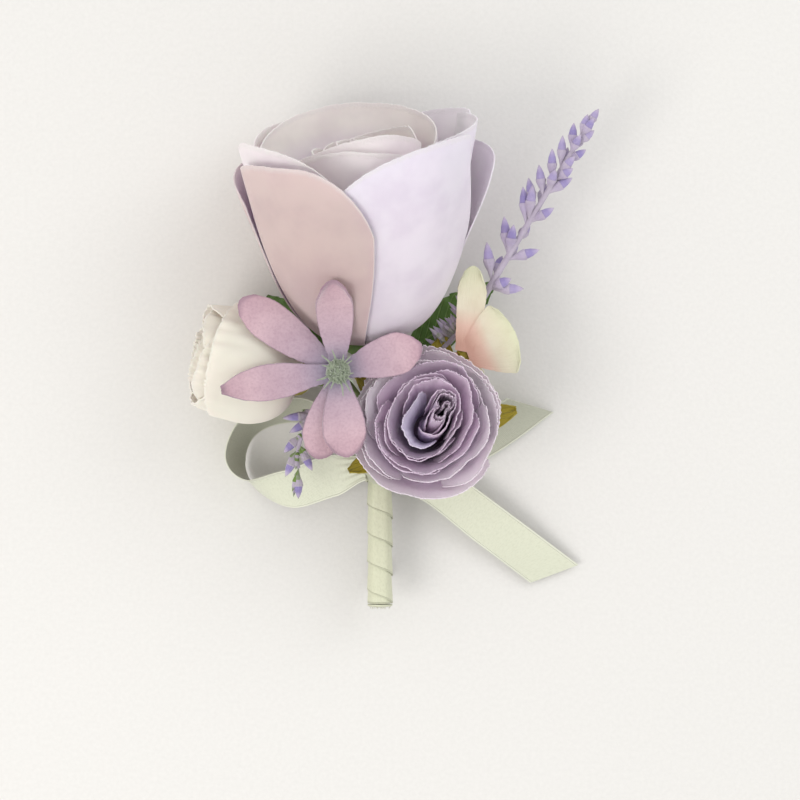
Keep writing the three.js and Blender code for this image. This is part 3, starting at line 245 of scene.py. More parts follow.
# %% [markdown]
# ## Cloth for petals
# Petals are stamped from a fine satin-weave cloth, dyed by hand and starched. Up close it shows crossing
# threads, soft creases that run from root to rim, a cloudy dye, and pale fluff where the die cut it. It is
# thin enough to let some light through, and the inner faces and inner petals are also painted lighter, as
# painted light against the shade inside the flowers, so the inner petals are nearly as bright as the outer
# ones. A pattern that follows the cloth needs the cloth's own coordinates: each piece carries `span`, with
# its place across, its place from root to rim, and 0 on its outer or 1 on its inner face, and a UV map in
# centimetres for the weave.

# %% Cloth
WEAVE = 0.35


def ribs(wire, axis, pitch):
    """A wave from -1 to 1 along the UV map, whose unit is a centimetre, with a pitch in millimetres."""
    uv = wire.node("UVMap", {"uv_map": "UVMap"}, output="UV")
    return (uv.part(axis) * (20 * math.pi / pitch)).own("SINE")


def threads(wire):
    """The relief of crossing threads."""
    return ribs(wire, "X", WEAVE) * ribs(wire, "Y", WEAVE) * 0.5 + 0.5


def span_of(wire):
    return wire.node("Attribute", {"attribute_name": "span"}, output="Vector")


def off_middle(span):
    """0 on the cloth's middle line and 1 at its sides."""
    return (span.part("X") - 0.5).own("ABSOLUTE") * 2


def outwards(span):
    """1 at the cloth's sides and at its rim."""
    return span.math("MAXIMUM", span.part("Y"), off_middle(span))


def creases(span, scale, waves=1.0):
    """Noise drawn out along the cloth."""
    return grain(span.node("Mapping", {}, {"Vector": span, "Scale": scale}), waves)


def cloth(name, outside, inside, rim, mottle=0.1, fluffy=0.6):
    """outside and inside are colours from root to rim, rim is the colour of the cut edge."""
    material, wire, where = blank(name)
    span = span_of(wire)
    along = span.part("Y")
    cloud = grain(where, 90, 3.0)
    edge_noise = grain(where, 1500)
    colour = over(span.part("Z"), shades(along, *outside), shades(along, *inside))
    colour = tinted(colour, step(cloud, 0.35, 0.75) * mottle * 2, paint("b9a8c0"))
    crease = creases(span, (7, 1.5, 3))
    fluff = step(outwards(span) + (edge_noise - 0.5) * 0.012, 0.98, 0.996)
    colour = over(fluff * fluffy, colour, paint(rim))
    relief = threads(wire) * 0.1 + crease * 0.07 + edge_noise * fluff * 0.3 + cloud * 0.25
    glow = {"Subsurface_Weight": 0.5, "Subsurface_Radius": (1, 0.8, 0.95), "Subsurface_Scale": 2 * MM}
    nap = {"Sheen_Weight": 0.25, "Sheen_Roughness": 0.4}
    return finish(material, colour, 0.75, relief, 0.5, **nap, **glow)


rose_blush = cloth(
    "rose_cloth_blush",
    [(0.05, "b0979e"), (0.3, "c3aaab"), (0.7, "ceb4b0"), (1, "d2bab6")],
    [(0.2, "ac97ae"), (0.7, "bfaebf"), (1, "cdc0c6")],
    "d8ccca",
)
# Paler and cooler than the blush, as painted cool light; its inner faces are painted lighter still, as
# painted light where the front petals shade them.
rose_cool_lit = cloth(
    "rose_cloth_cool_lit",
    [(0.05, "ddc9d9"), (0.4, "ecdcea"), (0.75, "ebddec"), (1, "e6dded")],
    [(0.2, "d8c8da"), (0.7, "eee4ed"), (1, "f3ecf1")],
    "e0d9de",
)
# The outer faces are painted near white, as painted light against the shade between the front petals; the
# inner faces run from a lilac band of painted shade deep in the rose to a pale cream rim.
rose_heart = cloth(
    "rose_cloth_heart",
    [(0.05, "dcc2d4"), (0.6, "f0d9e6"), (0.85, "f2e1e9"), (1, "f2e6e8")],
    [(0.3, "bfa9c8"), (0.72, "d3bfd9"), (0.87, "e9dbe2"), (0.94, "f1e7e1"), (1, "f3e9e2")],
    "e3dbd9",
)
# Painted darker towards the root, as painted shade deep between the crowded petals, and lighter elsewhere,
# as painted light against that shade.
tea_cloth = cloth(
    "tea_rose_cloth",
    [(0.1, "927499"), (0.5, "b195b7"), (0.85, "c8adc9"), (1, "d2bccf")],
    [(0.1, "8a6c94"), (0.5, "af92b6"), (0.85, "ccb0ca"), (1, "d8c1d4")],
    "c3b1c6",
    mottle=0.12,
    fluffy=0.3,
)
# Paler than the inner petals' cloth, as painted light on the outer petals.
tea_outer_cloth = cloth(
    "tea_rose_outer_cloth",
    [(0.1, "bda8c2"), (0.5, "dccbd9"), (1, "e8dae2")],
    [(0.1, "b59fc3"), (0.6, "dcc8df"), (1, "ecdde7")],
    "d2c6d2",
    mottle=0.1,
    fluffy=0.3,
)
tea_heart_cloth = cloth(
    "tea_rose_heart_cloth",
    [(0.1, "9a8cb4"), (0.5, "b3a6c8"), (1, "c8bcd6")],
    [(0.1, "a598c4"), (0.5, "c4bbe0"), (1, "d8cfe8")],
    "cfc3d4",
    fluffy=0.35,
)
cream_cloth = cloth(
    "cream_cloth",
    [(0.05, "d6b6b4"), (0.3, "ead7cc"), (0.7, "f1e6d7"), (1, "f2e8d8")],
    [(0.1, "dfcdc0"), (0.7, "efe2d0"), (1, "f2e8d8")],
    "ebe5d9",
    mottle=0.05,
)
print("petal cloths:", [m.name for m in bpy.data.materials])

# %% [markdown]
# ## Felt, leaf and satin
# The six-petalled flower is cut from a brushed felt whose fibres catch the light and whose edges are
# darker. The leaves and sepals are coated cloth with pressed veins. The ribbon is satin: fine ribs run
# across it, a cord of thicker threads runs along each edge, and its back is duller and greyer, painted
# darker still as painted shade for the far half of the loop.

# %% Felt
material, wire, where = blank("mauve_felt")
span = span_of(wire)
fibre = grain(where, 1500, 3.0)
patch = grain(where, 160)
# The greyer tone at the root is painted shade in the folds round the button.
colour = shades(span.part("Y"), (0.08, "968da0"), (0.32, "b59daa"), (0.75, "c9abb3"), (1, "bd9ca6"))
colour = tinted(colour, step(patch, 0.3, 0.8) * 0.22, paint("b8a0b4"))
colour = tinted(colour, step(fibre, 0.35, 0.75) * 0.25, paint("bfb0bd"))
colour = over(step(outwards(span), 0.93, 1.0) * 0.55, colour, paint("7c6274"))
relief = fibre * 0.6 + patch * 0.4
felt = finish(material, colour, 0.9, relief, 0.35, Sheen_Weight=0.6, Sheen_Roughness=0.5)

# %% Floret cloth
material, wire, where = blank("floret_cloth")
span = span_of(wire)
cloud = grain(where, 200, 3.0)
colour = shades(span.part("Y"), (0.1, "e2b2a0"), (0.3, "eac6b4"), (0.5, "e7dec7"), (1, "dfe1bf"))
colour = tinted(colour, step(cloud, 0.3, 0.8) * 0.2, paint("d8c4b0"))
crease = creases(span, (20, 1.2, 3), 1.5)
relief = threads(wire) * 0.2 + crease * 0.6 + cloud * 0.3
floret_cloth = finish(material, colour, 0.65, relief, 0.35, Sheen_Weight=0.2)

# %% Leaf and sepal


def leaf_cloth(name, dark, light, vein, veins, roughness):
    material, wire, where = blank(name)
    span = span_of(wire)
    off = off_middle(span)
    beside = ((span.part("Y") - off * 0.275) * veins).own("FRACT") - 0.5
    rib = 1 - step(beside.own("ABSOLUTE"), 0, 0.14)
    middle = 1 - step(off, 0.02, 0.09)
    line = rib.math("MAXIMUM", rib * 0.6, middle)
    cloud = grain(where, 220, 3.0)
    colour = over(cloud, paint(dark), paint(light))
    colour = over(line * 0.5, colour, paint(vein))
    relief = (1 - line) * 0.7 + cloud * 0.3
    return finish(material, colour, roughness, relief, 0.35, Sheen_Weight=0.1)


leaf_green = leaf_cloth("leaf_green", "3a5a20", "5f8433", "86a352", 9.0, 0.5)
sepal_olive = leaf_cloth("sepal_olive", "7f7212", "ab9a22", "b0a643", 5.0, 0.55)

# %% Satin
RIB = 0.32


def satin(name, face, back, band):
    """face and back are the two sides' colours, band the woven edge's; the back's darker colour is partly
    painted shade.
    """
    material, wire, _ = blank(name)
    span = span_of(wire)
    side = span.part("Z")
    rib = ribs(wire, "Y", RIB) * 0.5 + 0.5
    slub = creases(span, (6, 90, 3), 2.0)
    colour = over(side, paint(face), paint(back))
    colour = tinted(colour, step(slub, 0.4, 0.8) * 0.18, paint("b9bca8"))
    selvedge = step(off_middle(span), 0.9, 0.94)
    colour = over(selvedge * 0.6, colour, paint(band))
    relief = rib * 0.12 + slub * 0.2 + selvedge * 0.6
    shine = side * 0.12 + 0.38
    return finish(material, colour, shine, relief, 0.3, Sheen_Weight=0.3, Sheen_Roughness=0.3)


# The darker back colours are partly painted shade for the far half of the loop.
ribbon_satin = satin("ribbon_satin", "d6d8c3", "b4b5a4", "dddecd")
wrap_satin = satin("wrap_satin", "d3d4b9", "b0b19c", "bebfa5")

# %% [markdown]
# ## Wire, button, glue and steel
# The stems are wires in green paper tape whose turns show as rings. The lavender is flocked plastic, the
# button a tuft of sage fibres. The pin's own solids are right as they are, and only need brushed nickel.

# %% Taped stems
material, _, where = blank("stem_tape_green")
wrinkle = grain(where, 500, 3.0)
turn = (where.part("Y") * 900.0 + wrinkle * 1.5).own("FRACT")
colour = over(wrinkle, paint("46552b"), paint("6f7f49"))
stem_green = finish(material, colour, 0.6, turn * 0.6 + wrinkle, 0.15)

# %% Lavender
material, wire, where = blank("lavender_flock")
tint = wire.node("Attribute", {"attribute_name": "tint"}, output="Fac")
flock = grain(where, 1400, 3.0)
patch = grain(where, 250, 2.0)
colour = shades(tint, (0.0, "6f8a3e"), (0.25, "b7adba"), (0.6, "b5a8c4"), (1, "9286b8"))
colour = tinted(colour, step(patch, 0.35, 0.8) * 0.35, paint("b4a8bd"))
colour = over(step(flock, 0.55, 0.75) * 0.25, colour, paint("c2b7c8"))
lavender = finish(material, colour, 0.9, flock, 0.25, Sheen_Weight=0.4)

# %% Sage, glue and tape


def mottled(name, scale, detail, dark, light, roughness, depth, **constants):
    """A material whose colour and relief follow one noise."""
    material, _, where = blank(name)
    noise = grain(where, scale, detail)
    colour = over(noise, paint(dark), paint(light))
    return finish(material, colour, roughness, noise, depth, **constants)


sage = mottled("sage_tuft", 900, 3.0, "76806d", "a3ad95", 0.85, 0.3, Sheen_Weight=0.5)
glue = mottled("set_glue", 300, 2.0, "d5d0bd", "e9e5d6", 0.3, 0.2, Subsurface_Weight=0.15)
bundle_tape = mottled("bundle_tape", 400, 3.0, "969a76", "b3b792", 0.8, 0.2)

# %% Steel
material, _, where = blank("nickelled_steel")
brush = grain(where.node("Mapping", {}, {"Vector": where, "Scale": (900, 60, 900)}), 1.0, 2.0)
wear = grain(where, 350, 3.0)
colour = over(wear, paint("b9b9ba"), paint("d2d1cf"))
steel = finish(material, colour, brush * 0.12 + 0.22, brush, 0.01, Metallic=1.0)

# %% [markdown]
# ## From a flat grid to a formed cloth
# A petal is cut flat and then pressed over a warm ball. Here a flat grid is added, every point of it is
# moved to its place on the formed petal, and a Solidify modifier gives the cloth its thickness. Working
# from the flat cut keeps a coordinate across and along the cloth for its dye, and its real size for the
# scale of its weave.

# %% Formed cloth


def numbers(points):
    return np.asarray(points, float)


def smooth(x):
    x = np.clip(x, 0, 1)
    return x * x * (3 - 2 * x)


def late(x, start):
    """0 up to the start, and then smoothly up to 1."""
    return smooth((x - start) / (1 - start))


def lerp(a, b, t):
    return a + (b - a) * t


def waves(seed, count, low, high):
    """A gentle random wave over a cloth: a few sines with seeded directions."""
    draw = np.random.default_rng(seed).uniform
    terms = [(draw(low, high), draw(low, high) * 0.6, draw(0, 6.3)) for _ in range(count)]
    return lambda u, v: sum(np.sin(TAU * (a * u + b * v) + c) for a, b, c in terms) / count


FRAYS = 150
MEASURED = 41
CLOTH_ANGLE, ROUND_ANGLE = 45, 50


def rough_cut(seed):
    """The ragged line of a cut edge, from -1 to 1."""
    knots = np.random.default_rng(seed).uniform(-1, 1, FRAYS)
    return lambda u: np.interp(u * (FRAYS - 1), np.arange(FRAYS), knots)


def cloth_size(place):
    """Width, length and area in millimetres of the flat cloth behind a formed one."""
    u, v = np.meshgrid(np.linspace(0, 1, MEASURED), np.linspace(0, 1, MEASURED))
    points = place(u.ravel(), v.ravel()).reshape(MEASURED, MEASURED, 3)
    across = np.linalg.norm(np.diff(points, axis=1), axis=2).sum(1).max()
    along = np.linalg.norm(np.diff(points, axis=0), axis=2).sum(0).max()
    a, b = np.diff(points, axis=1)[:-1], np.diff(points, axis=0)[:, :-1]
    return across, along, np.linalg.norm(np.cross(a, b), axis=2).sum()


def added(name):
    """The object that the last operator added, under its name."""
    piece = bpy.context.object
    piece.name = piece.data.name = name
    return piece


def points_of(mesh):
    flat = np.empty(len(mesh.vertices) * 3)
    mesh.vertices.foreach_get("co", flat)
    return flat.reshape(-1, 3)


def finished(piece, material, angle):
    """Gives the piece its material, and smooth shading where its faces meet at less than the angle."""
    piece.data.materials.clear()
    piece.data.materials.append(material)
    bpy.ops.object.shade_smooth_by_angle(angle=math.radians(angle))
    return piece


def formed(name, columns, rows, place, wall, material):
    """A cloth of a wall's thickness whose point at u across and v along lies at place(u, v)."""
    bpy.ops.object.select_all(action="DESELECT")
    bpy.ops.mesh.primitive_grid_add(x_subdivisions=columns, y_subdivisions=rows, size=1)
    piece = added(name)
    mesh = piece.data
    u, v, _ = points_of(mesh).T + 0.5
    mesh.vertices.foreach_set("co", (place(u, v) * MM).ravel())
    width, length, area = cloth_size(place)
    corners = np.empty(len(mesh.loops), int)
    mesh.loops.foreach_get("vertex_index", corners)
    chart = np.stack([u[corners] * width / 10, v[corners] * length / 10], 1)
    mesh.uv_layers.active.data.foreach_set("uv", chart.ravel())
    mesh.uv_layers.active.name = "UVMap"
    span = mesh.attributes.new("span", "FLOAT_VECTOR", "POINT")
    span.data.foreach_set("vector", np.stack([u, v, 0 * u], 1).ravel())
    count = len(mesh.vertices)
    thick = piece.modifiers.new("wall", "SOLIDIFY")
    thick.thickness, thick.offset = wall * MM, 0
    bpy.ops.object.modifier_apply(modifier="wall")
    span = numbers([d.vector for d in piece.data.attributes["span"].data])
    span[count:, 2] = 1
    piece.data.attributes["span"].data.foreach_set("vector", span.ravel())
    return finished(piece, material, CLOTH_ANGLE), (width * MM, length * MM, area * MM * MM)


def dress(piece, nodes):
    """The piece stands for CAD nodes and moves with the corsage."""
    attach(piece, BODY)
    if nodes:
        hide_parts(*nodes)
    return piece


SHORTEST_SHEET = 10.5 * MM


def laid_cloth(name, columns, rows, place, wall, material, nodes, slot, held="gathered", rests_on=()):
    """A formed cloth, dressed onto the corsage, whose cut size is printed."""
    piece, (width, length, area) = formed(name, columns, rows, place, wall, material)
    dress(piece, nodes)
    if min(width, length) > SHORTEST_SHEET:
        min(area, width * length)
    print(f"{name}: cut {width / MM:.1f} x {length / MM:.1f} mm")
    return piece


# %% [markdown]
# ## Where the flowers stand
# Every flower is built round its own axis, with its root at the origin, and then set on its stem. The
# places are counted from the top of the handle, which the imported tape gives.

# %% Flower frames
UP = numbers([0, 0, 1])
TAPE_SHORT = 2.5
tape_low, tape_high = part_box("handle_tape")
HANDLE_TOP = numbers([(tape_low.x + tape_high.x) / 2, tape_high.y, (tape_low.z + tape_high.z) / 2]) / MM
HANDLE_TOP[1] += TAPE_SHORT
HANDLE_LENGTH = HANDLE_TOP[1] - tape_low.y / MM
print("top of the handle in mm:", HANDLE_TOP.round(3), "handle", round(HANDLE_LENGTH, 1))


def from_top(x, y, z):
    return HANDLE_TOP + (x, y, z)


def unit(vector):
    return numbers(vector) / np.linalg.norm(vector)


def set_on(root, axis, front):
    """Turns places round a flower's axis into places on the corsage."""
    z = unit(axis)
    x = unit(np.cross(front, z))
    turn = np.stack([x, np.cross(z, x), z])
    return lambda place: lambda u, v: place(u, v) @ turn + root


# %% [markdown]
# ## Petals that stand round an axis
# The outer petals of a rose follow one bowl: narrow at the seat, full at the shoulder, a little drawn in at
# the rim. A cubic curve gives that side view. Every further layer lies one pitch inside the last and leans
# in more. A flower's own values say how its rims ripple and ruffle, and how fine its grid is: `fine` is in
# degrees for each column. A petal's row says which degrees it spans, how high it reaches, where its tip is,
# how far its corners drop, how its rim curls and how much it waves. What a row leaves out, it has from
# PLAIN or from its flower.

# %% Bowl and petal


def cubic(t, a, b, c, d):
    return (1 - t) ** 3 * a + 3 * (1 - t) ** 2 * t * b + 3 * (1 - t) * t**2 * c + t**3 * d


def bowl(flower, s):
    """The radius and height at a share of the bowl's side, and the way inwards from there."""
    start, bulge, shoulder, rim, lift = flower["bowl"]
    r = [share * flower["radius"] for share in (start, bulge, shoulder, rim)]
    z = [0, 0, lift * flower["height"], flower["height"]]

    def slope(p):
        return (1 - s) ** 2 * (p[1] - p[0]) + 2 * (1 - s) * s * (p[2] - p[1]) + s**2 * (p[3] - p[2])

    run, rise = slope(r), slope(z)
    size = np.hypot(run, rise)
    return cubic(s, *r), cubic(s, *z), -rise / size, run / size


def cut(from_, to, layer, top, **more):
    """A petal's row: its degrees, its layer inside the bowl, how high it reaches, and its own touches."""
    return {"from": from_, "to": to, "layer": layer, "top": top, **more}


NECK = 0.7
PLAIN = {
    "tip": 0, "drop": 0.1, "power": 3, "lean": 1, "turn": 0, "spread_to": 1, "waist": 0, "oval": 0,
    "oval_turn": 0, "roll": 0.86, "shift": (0, 0), "corners": (),
}


def petal_place(flower, petal, seed):
    """A petal's shape: inside, w runs from -1 to 1 across it and s is the share of the bowl's side."""
    petal = {**PLAIN, **{key: flower[key] for key in ("leaning", "wave", "curl")}, **petal}
    tip = petal["tip"]
    middle, half = (petal["to"] + petal["from"]) / 2, (petal["to"] - petal["from"]) / 2
    swell, cut_line = waves(seed, 4, 0.5, 2.2), rough_cut(seed + 50)
    drops = [petal.get(key, petal["drop"]) for key in ("drop_from", "drop_to")]

    def place(u, v):
        w = 2 * u - 1
        away = np.where(w < tip, (tip - w) / (1 + tip), (w - tip) / (1 - tip))
        drop = np.where(w < tip, *drops)
        away = 0.84 * away ** petal["power"] + 0.16 * away**9
        frayed = flower["fray"] * cut_line(u) * late(v, 0.93) / flower["height"]
        s = v * (petal["top"] * (1 - drop * away) + frayed)
        r, z, in_r, in_z = bowl(flower, s)
        lean = petal["lean"] + petal["turn"] * w
        broad = np.where(w > 0, lerp(petal["spread_to"], 1, late(s, 0.45)), 1)
        angle = np.radians(middle + w * half * lerp(NECK, 1, smooth(s * 1.5)) * broad)
        depth = petal["layer"] * flower["pitch"]
        r = (r + in_r * depth) * (1 + (lean - 1) * s ** petal["leaning"])
        r = r * (1 - 4 * petal["waist"] * s * (1 - s))
        oval = petal["oval"] * np.cos(2 * (angle - math.radians(petal["oval_turn"])))
        r = r * (1 + oval * smooth(s))
        near = np.clip(r / flower["radius"], 0.15, 1)
        drift = petal["layer"] + 1.4 * np.sin(3 * angle + 1.7 * petal["layer"])
        r = r + near * flower["ripple"] * s**3 * np.sin(flower["ripples"] * angle + drift)
        r = r + near**0.5 * flower["ruffle"] * s**5 * np.sin(flower["ruffles"] * angle + 2.1 * drift)
        r = r + petal["wave"] * s * swell(u, v)
        rim = late(v, petal["roll"])
        curl = petal["curl"] * rim**1.5
        for where, reach, outward in petal["corners"]:
            turned = late(v, 0.72) * np.exp(-(((w - where) / reach) ** 2))
            curl = curl + outward * turned
            z = z - abs(outward) * 0.35 * turned
        r = r + curl
        z = z + in_z * depth + flower["seat"] - 0.3 * np.abs(curl) * rim
        x_off, y_off = petal["shift"]
        return np.stack([r * np.cos(angle) + x_off * s, r * np.sin(angle) + y_off * s, z], -1)

    return place


FEWEST_COLUMNS, MOST_COLUMNS = 24, 160


def petals(stand, flower, table, names, cloths, slot):
    """One formed cloth for each row of the table."""
    for k, (name, petal) in enumerate(table.items()):
        wanted = (petal["to"] - petal["from"]) / flower["fine"]
        columns = int(np.clip(wanted, FEWEST_COLUMNS, MOST_COLUMNS))
        place = stand(petal_place(flower, petal, 7 * k + len(name)))
        node = names + name
        nodes = [node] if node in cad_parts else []
        grid = columns, flower["rows"]
        laid_cloth(node + "_cloth", *grid, place, flower["wall"], cloths(name), nodes, slot)


# %% [markdown]
# ## The large rose
# Two broad petals stand in front, with narrow slips of the ones behind them at each side, a corner that
# folds over at the top right, and an arch, a scroll and eleven small ones that roll round the heart. The
# left one in front is a dusty blush; the right one is painted paler and cooler, as painted cool light.

# %% Large rose
ROSE_AXIS = unit([-math.sin(math.radians(2.2)), math.cos(math.radians(15)), math.sin(math.radians(15))])
rose_root = from_top(-2.9, 28.9, 8.2)
rose_stand = set_on(rose_root, ROSE_AXIS, UP)
rose = {
    "radius": 36, "height": 62, "pitch": 1.05, "bowl": (0.2, 0.62, 0.83, 1, 0.43), "seat": 0.55,
    "wall": 0.36, "leaning": 1.4, "ripple": 0, "ripples": 0, "ruffle": 0, "ruffles": 0, "wave": 0.3,
    "curl": 0.25, "fray": 0.1, "fine": 0.6, "rows": 44,
}
rose_petals = {
    "front_left": cut(20, 95, 0, 0.918, drop_from=0.03, drop_to=0.22, power=2.4),
    "back_left": cut(262, 377, 0, 0.86, tip=0.3, turn=0.02, corners=[(0.75, 0.25, 1.0)]),
    "front_right": cut(74, 147, 1, 0.97, tip=0.9, drop_from=0.17, drop_to=0.01, power=2.5, spread_to=1.9),
    "back": cut(230, 326, 1, 0.87, drop=0.12),
    "side_right": cut(168, 256, 2, 0.889, tip=-0.2, drop=0.05, turn=-0.09, curl=2.2, roll=0.6),
    "side_left": cut(
        346, 440, 2, 0.951, drop_from=0.09, drop_to=0.125, lean=0.97, power=2.7, corners=[(-0.75, 0.2, 1.0)]
    ),
    "top_right": cut(
        198, 262, 3, 0.967, tip=-0.8, drop_to=0.08, lean=0.97, turn=-0.05, power=1.6,
        corners=[(-0.95, 0.3, -0.6)],
    ),
    "top_left": cut(280, 346, 3, 0.935, drop=0.04, lean=0.95),
    "top_fold": cut(128, 212, 3.4, 0.967, drop=0.015, lean=0.975, power=2),
    "inner_slip": cut(
        40, 138, 3, 0.94, tip=-0.1, drop=0.06, lean=0.65, power=1.6, corners=[(0.1, 0.3, 0.7)]
    ),
    "inner_front": cut(
        24, 144, 4, 0.968, tip=0.4, drop_from=0.1, drop_to=0.04, lean=0.6, power=1.6,
        corners=[(-0.6, 0.25, 1.2)],
    ),
    "inner_arch": cut(
        152, 366, 4, 0.98, tip=0.1, drop_from=0.1, drop_to=0.12, lean=0.67, turn=0.17, curl=2.2, roll=0.8,
        power=2,
    ),
    "inner_scroll": cut(176, 400, 5, 0.935, tip=-0.7, drop_to=0.2, lean=0.45, power=1.3),
}
HEART_PETALS = 11
for k in range(HEART_PETALS):
    share = k / (HEART_PETALS - 1)
    centre, half = 100 + GOLDEN_ANGLE * k, 75 + 30 * share
    rose_petals[f"heart_{k}"] = cut(
        centre - half, centre + half, 5.4 + 1.8 * share, 0.885 + 0.035 * share,
        power=4, lean=lerp(0.52, 0.02, share), curl=0.6, waist=0.05, leaning=0.6,
    )


def rose_dye(name):
    if name in ("front_left", "back_left"):
        return rose_blush
    within = name.startswith(("inner", "heart", "side_left", "top_left"))
    return rose_heart if within else rose_cool_lit


petals(rose_stand, rose, rose_petals, "rose_petal_", rose_dye, "lilac_cloth")

# %% [markdown]
# ## The small layered rose
# Its petals are cut with a wavy die, so their rims ruffle twice: broadly, and in fine scallops. Towards the
# heart they stand closer and squeeze into an oval. Between the big petals go nine fillings, each turned by
# the golden angle from the last, and five tight ones roll up in the slot at the heart, because this
# flower's charm is in its crowded rims.

# %% Small rose
tea_axis = (0, math.sin(math.radians(12)), math.cos(math.radians(12)))
tea_root = from_top(12.6, 3.2, 9)
tea_stand = set_on(tea_root, tea_axis, (0, 1, 0))
tea = {
    "radius": 20.6, "height": 22.5, "pitch": 0.95, "bowl": (0.2, 0.62, 0.98, 1, 0.4), "seat": 0.55,
    "wall": 0.28, "leaning": 0.35, "ripple": 0.7, "ripples": 5, "ruffle": 0.24, "ruffles": 16, "wave": 0.8,
    "curl": 1.3, "fray": 0.45, "fine": 1.3, "rows": 26,
}
tea_petals = {
    "outer_lower": cut(186, 332, 0, 0.76, lean=1.03),
    "outer_upper": cut(6, 152, 0, 0.76, lean=1.03),
    "outer_left": cut(100, 238, 1, 0.82, lean=0.98),
    "outer_right": cut(284, 422, 1, 0.82, lean=0.98),
    "middle_upper": cut(14, 196, 2, 0.89, lean=0.87),
    "middle_lower": cut(168, 376, 3, 0.93, lean=0.75, oval=0.05),
    "inner_scroll": cut(30, 330, 4, 0.96, lean=0.56, oval=0.12),
    "heart_leaf": cut(
        100, 285, 4.3, 0.99, lean=0.46, oval=0.28, waist=0.36, shift=(1.3, 0.8), curl=0.3, wave=0.25
    ),
    "heart_scroll": cut(210, 505, 5, 1, lean=0.28, oval=0.34, shift=(3.4, 1.4), curl=0.4),
}
FILLINGS, SLOT_PETALS = 9, 5
SLOT_TURN = 60
# Layers below this get the paler outer cloth, painted light on the outer petals.
PALE_LAYERS = 2.1
for k in range(FILLINGS):
    share = k / (FILLINGS - 1)
    centre, half = 40 + GOLDEN_ANGLE * k, 62 + 40 * share
    tea_petals[f"filling_{k}"] = cut(
        centre - half, centre + half, 1 + 3 * share, lerp(0.82, 0.98, share**0.7), oval=0.2 * share,
        lean=lerp(1.0, 0.5, share), curl=lerp(1.4, 0.7, share), wave=lerp(0.9, 0.6, share),
    )
for k in range(SLOT_PETALS):
    tea_petals[f"slot_{k}"] = cut(
        250 + 100 * k, 480 + 110 * k, 5.2, 1 + 0.01 * k, lean=0.22 - 0.04 * k, oval=0.55, curl=0.2,
        shift=(3.4 + 0.3 * k, 1.8), wave=0.3,
    )
for petal in tea_petals.values():
    petal["oval_turn"] = SLOT_TURN
    petal["drop"], petal["power"], petal["roll"] = 0.2, 7, 0.76
    petal.setdefault("waist", 0.06 * min(petal["layer"], 2.5))


def tea_dye(name):
    if name == "heart_leaf":
        return tea_heart_cloth
    return tea_outer_cloth if tea_petals[name]["layer"] < PALE_LAYERS else tea_cloth


petals(tea_stand, tea, tea_petals, "tea_petal_", tea_dye, "purple_cloth")

# %% [markdown]
# ## The cream bud
# A closed bud on its side, seen from its flank: one broad front petal wraps it, the petals behind stand a
# little further out with crumpled rims, and narrow slips crowd its mouth.

# %% Bud
bud_axis = unit([-0.95, 0.24, 0.2])
bud_root = from_top(-22.3, 18.4, 7.2)
bud_stand = set_on(bud_root, bud_axis, UP)
bud = {
    "radius": 17, "height": 28.5, "pitch": 1, "bowl": (0.28, 0.95, 1.12, 0.8, 0.45), "seat": 0.55,
    "wall": 0.32, "leaning": 0.6, "ripple": 0.3, "ripples": 6, "ruffle": 0.35, "ruffles": 17, "wave": 0.4,
    "curl": 0.5, "fray": 0.2, "fine": 1.3, "rows": 34,
}
bud_petals = {
    "front": cut(16, 166, 0, 0.965, drop=0.13, power=2),
    "back": cut(214, 342, 0, 0.95, drop=0.06, wave=0.8),
    "upper": cut(140, 250, 1, 0.99, drop=0.06, lean=0.99, wave=0.8),
    "lower": cut(300, 402, 1, 0.95, drop=0.06, lean=0.99, wave=0.8),
    "inner": cut(60, 330, 2, 0.9, drop=0.03, lean=0.72, wave=0.9),
    "front_slip": cut(20, 116, 1.1, 1.02, drop=0.08, lean=0.95, wave=0.5),
    "side_slip": cut(84, 176, 1.6, 1.03, drop=0.08, lean=0.9, wave=0.5),
    "middle_slip": cut(14, 128, 2.4, 1.05, drop=0.06, lean=0.76, wave=0.6),
    "back_slip": cut(200, 380, 2.4, 0.99, drop=0.06, lean=0.86, wave=0.7),
    "inner_slip": cut(150, 330, 3, 1.01, drop=0.06, lean=0.66, wave=0.6),
    "heart": cut(10, 210, 3.6, 1.06, drop=0.05, lean=0.52, wave=0.5),
    "heart_slip": cut(190, 400, 4.2, 1.03, drop=0.05, lean=0.42, wave=0.5),
    "heart_fold": cut(0, 280, 4.8, 1.06, drop=0.05, lean=0.22, wave=0.4),
}
petals(bud_stand, bud, bud_petals, "bud_petal_", lambda name: cream_cloth, "cream_cloth")

# %% [markdown]
# ## Flat petals and leaves
# A blade reaches out from its root. Its half width follows a few points along its length, its edges are
# lifted or dropped, and its far end rises. The six-petalled flower is two trefoils of felt, one over the
# other. The floret is one cloth with a tall, a broad and two short petals.

# %% Blades


def pointing(angle):
    return numbers([math.cos(angle), math.sin(angle), 0])


def stamped(angle, length, width, rise, cup, outline, blunt=0, bend=0):
    """A blade's row: where it points, its size, how its far end rises, and how its edges are lifted."""
    row = {"angle": angle, "length": length, "width": width, "rise": rise, "cup": cup}
    return {**row, "outline": outline, "blunt": blunt, "bend": bend}


STEPS = 60


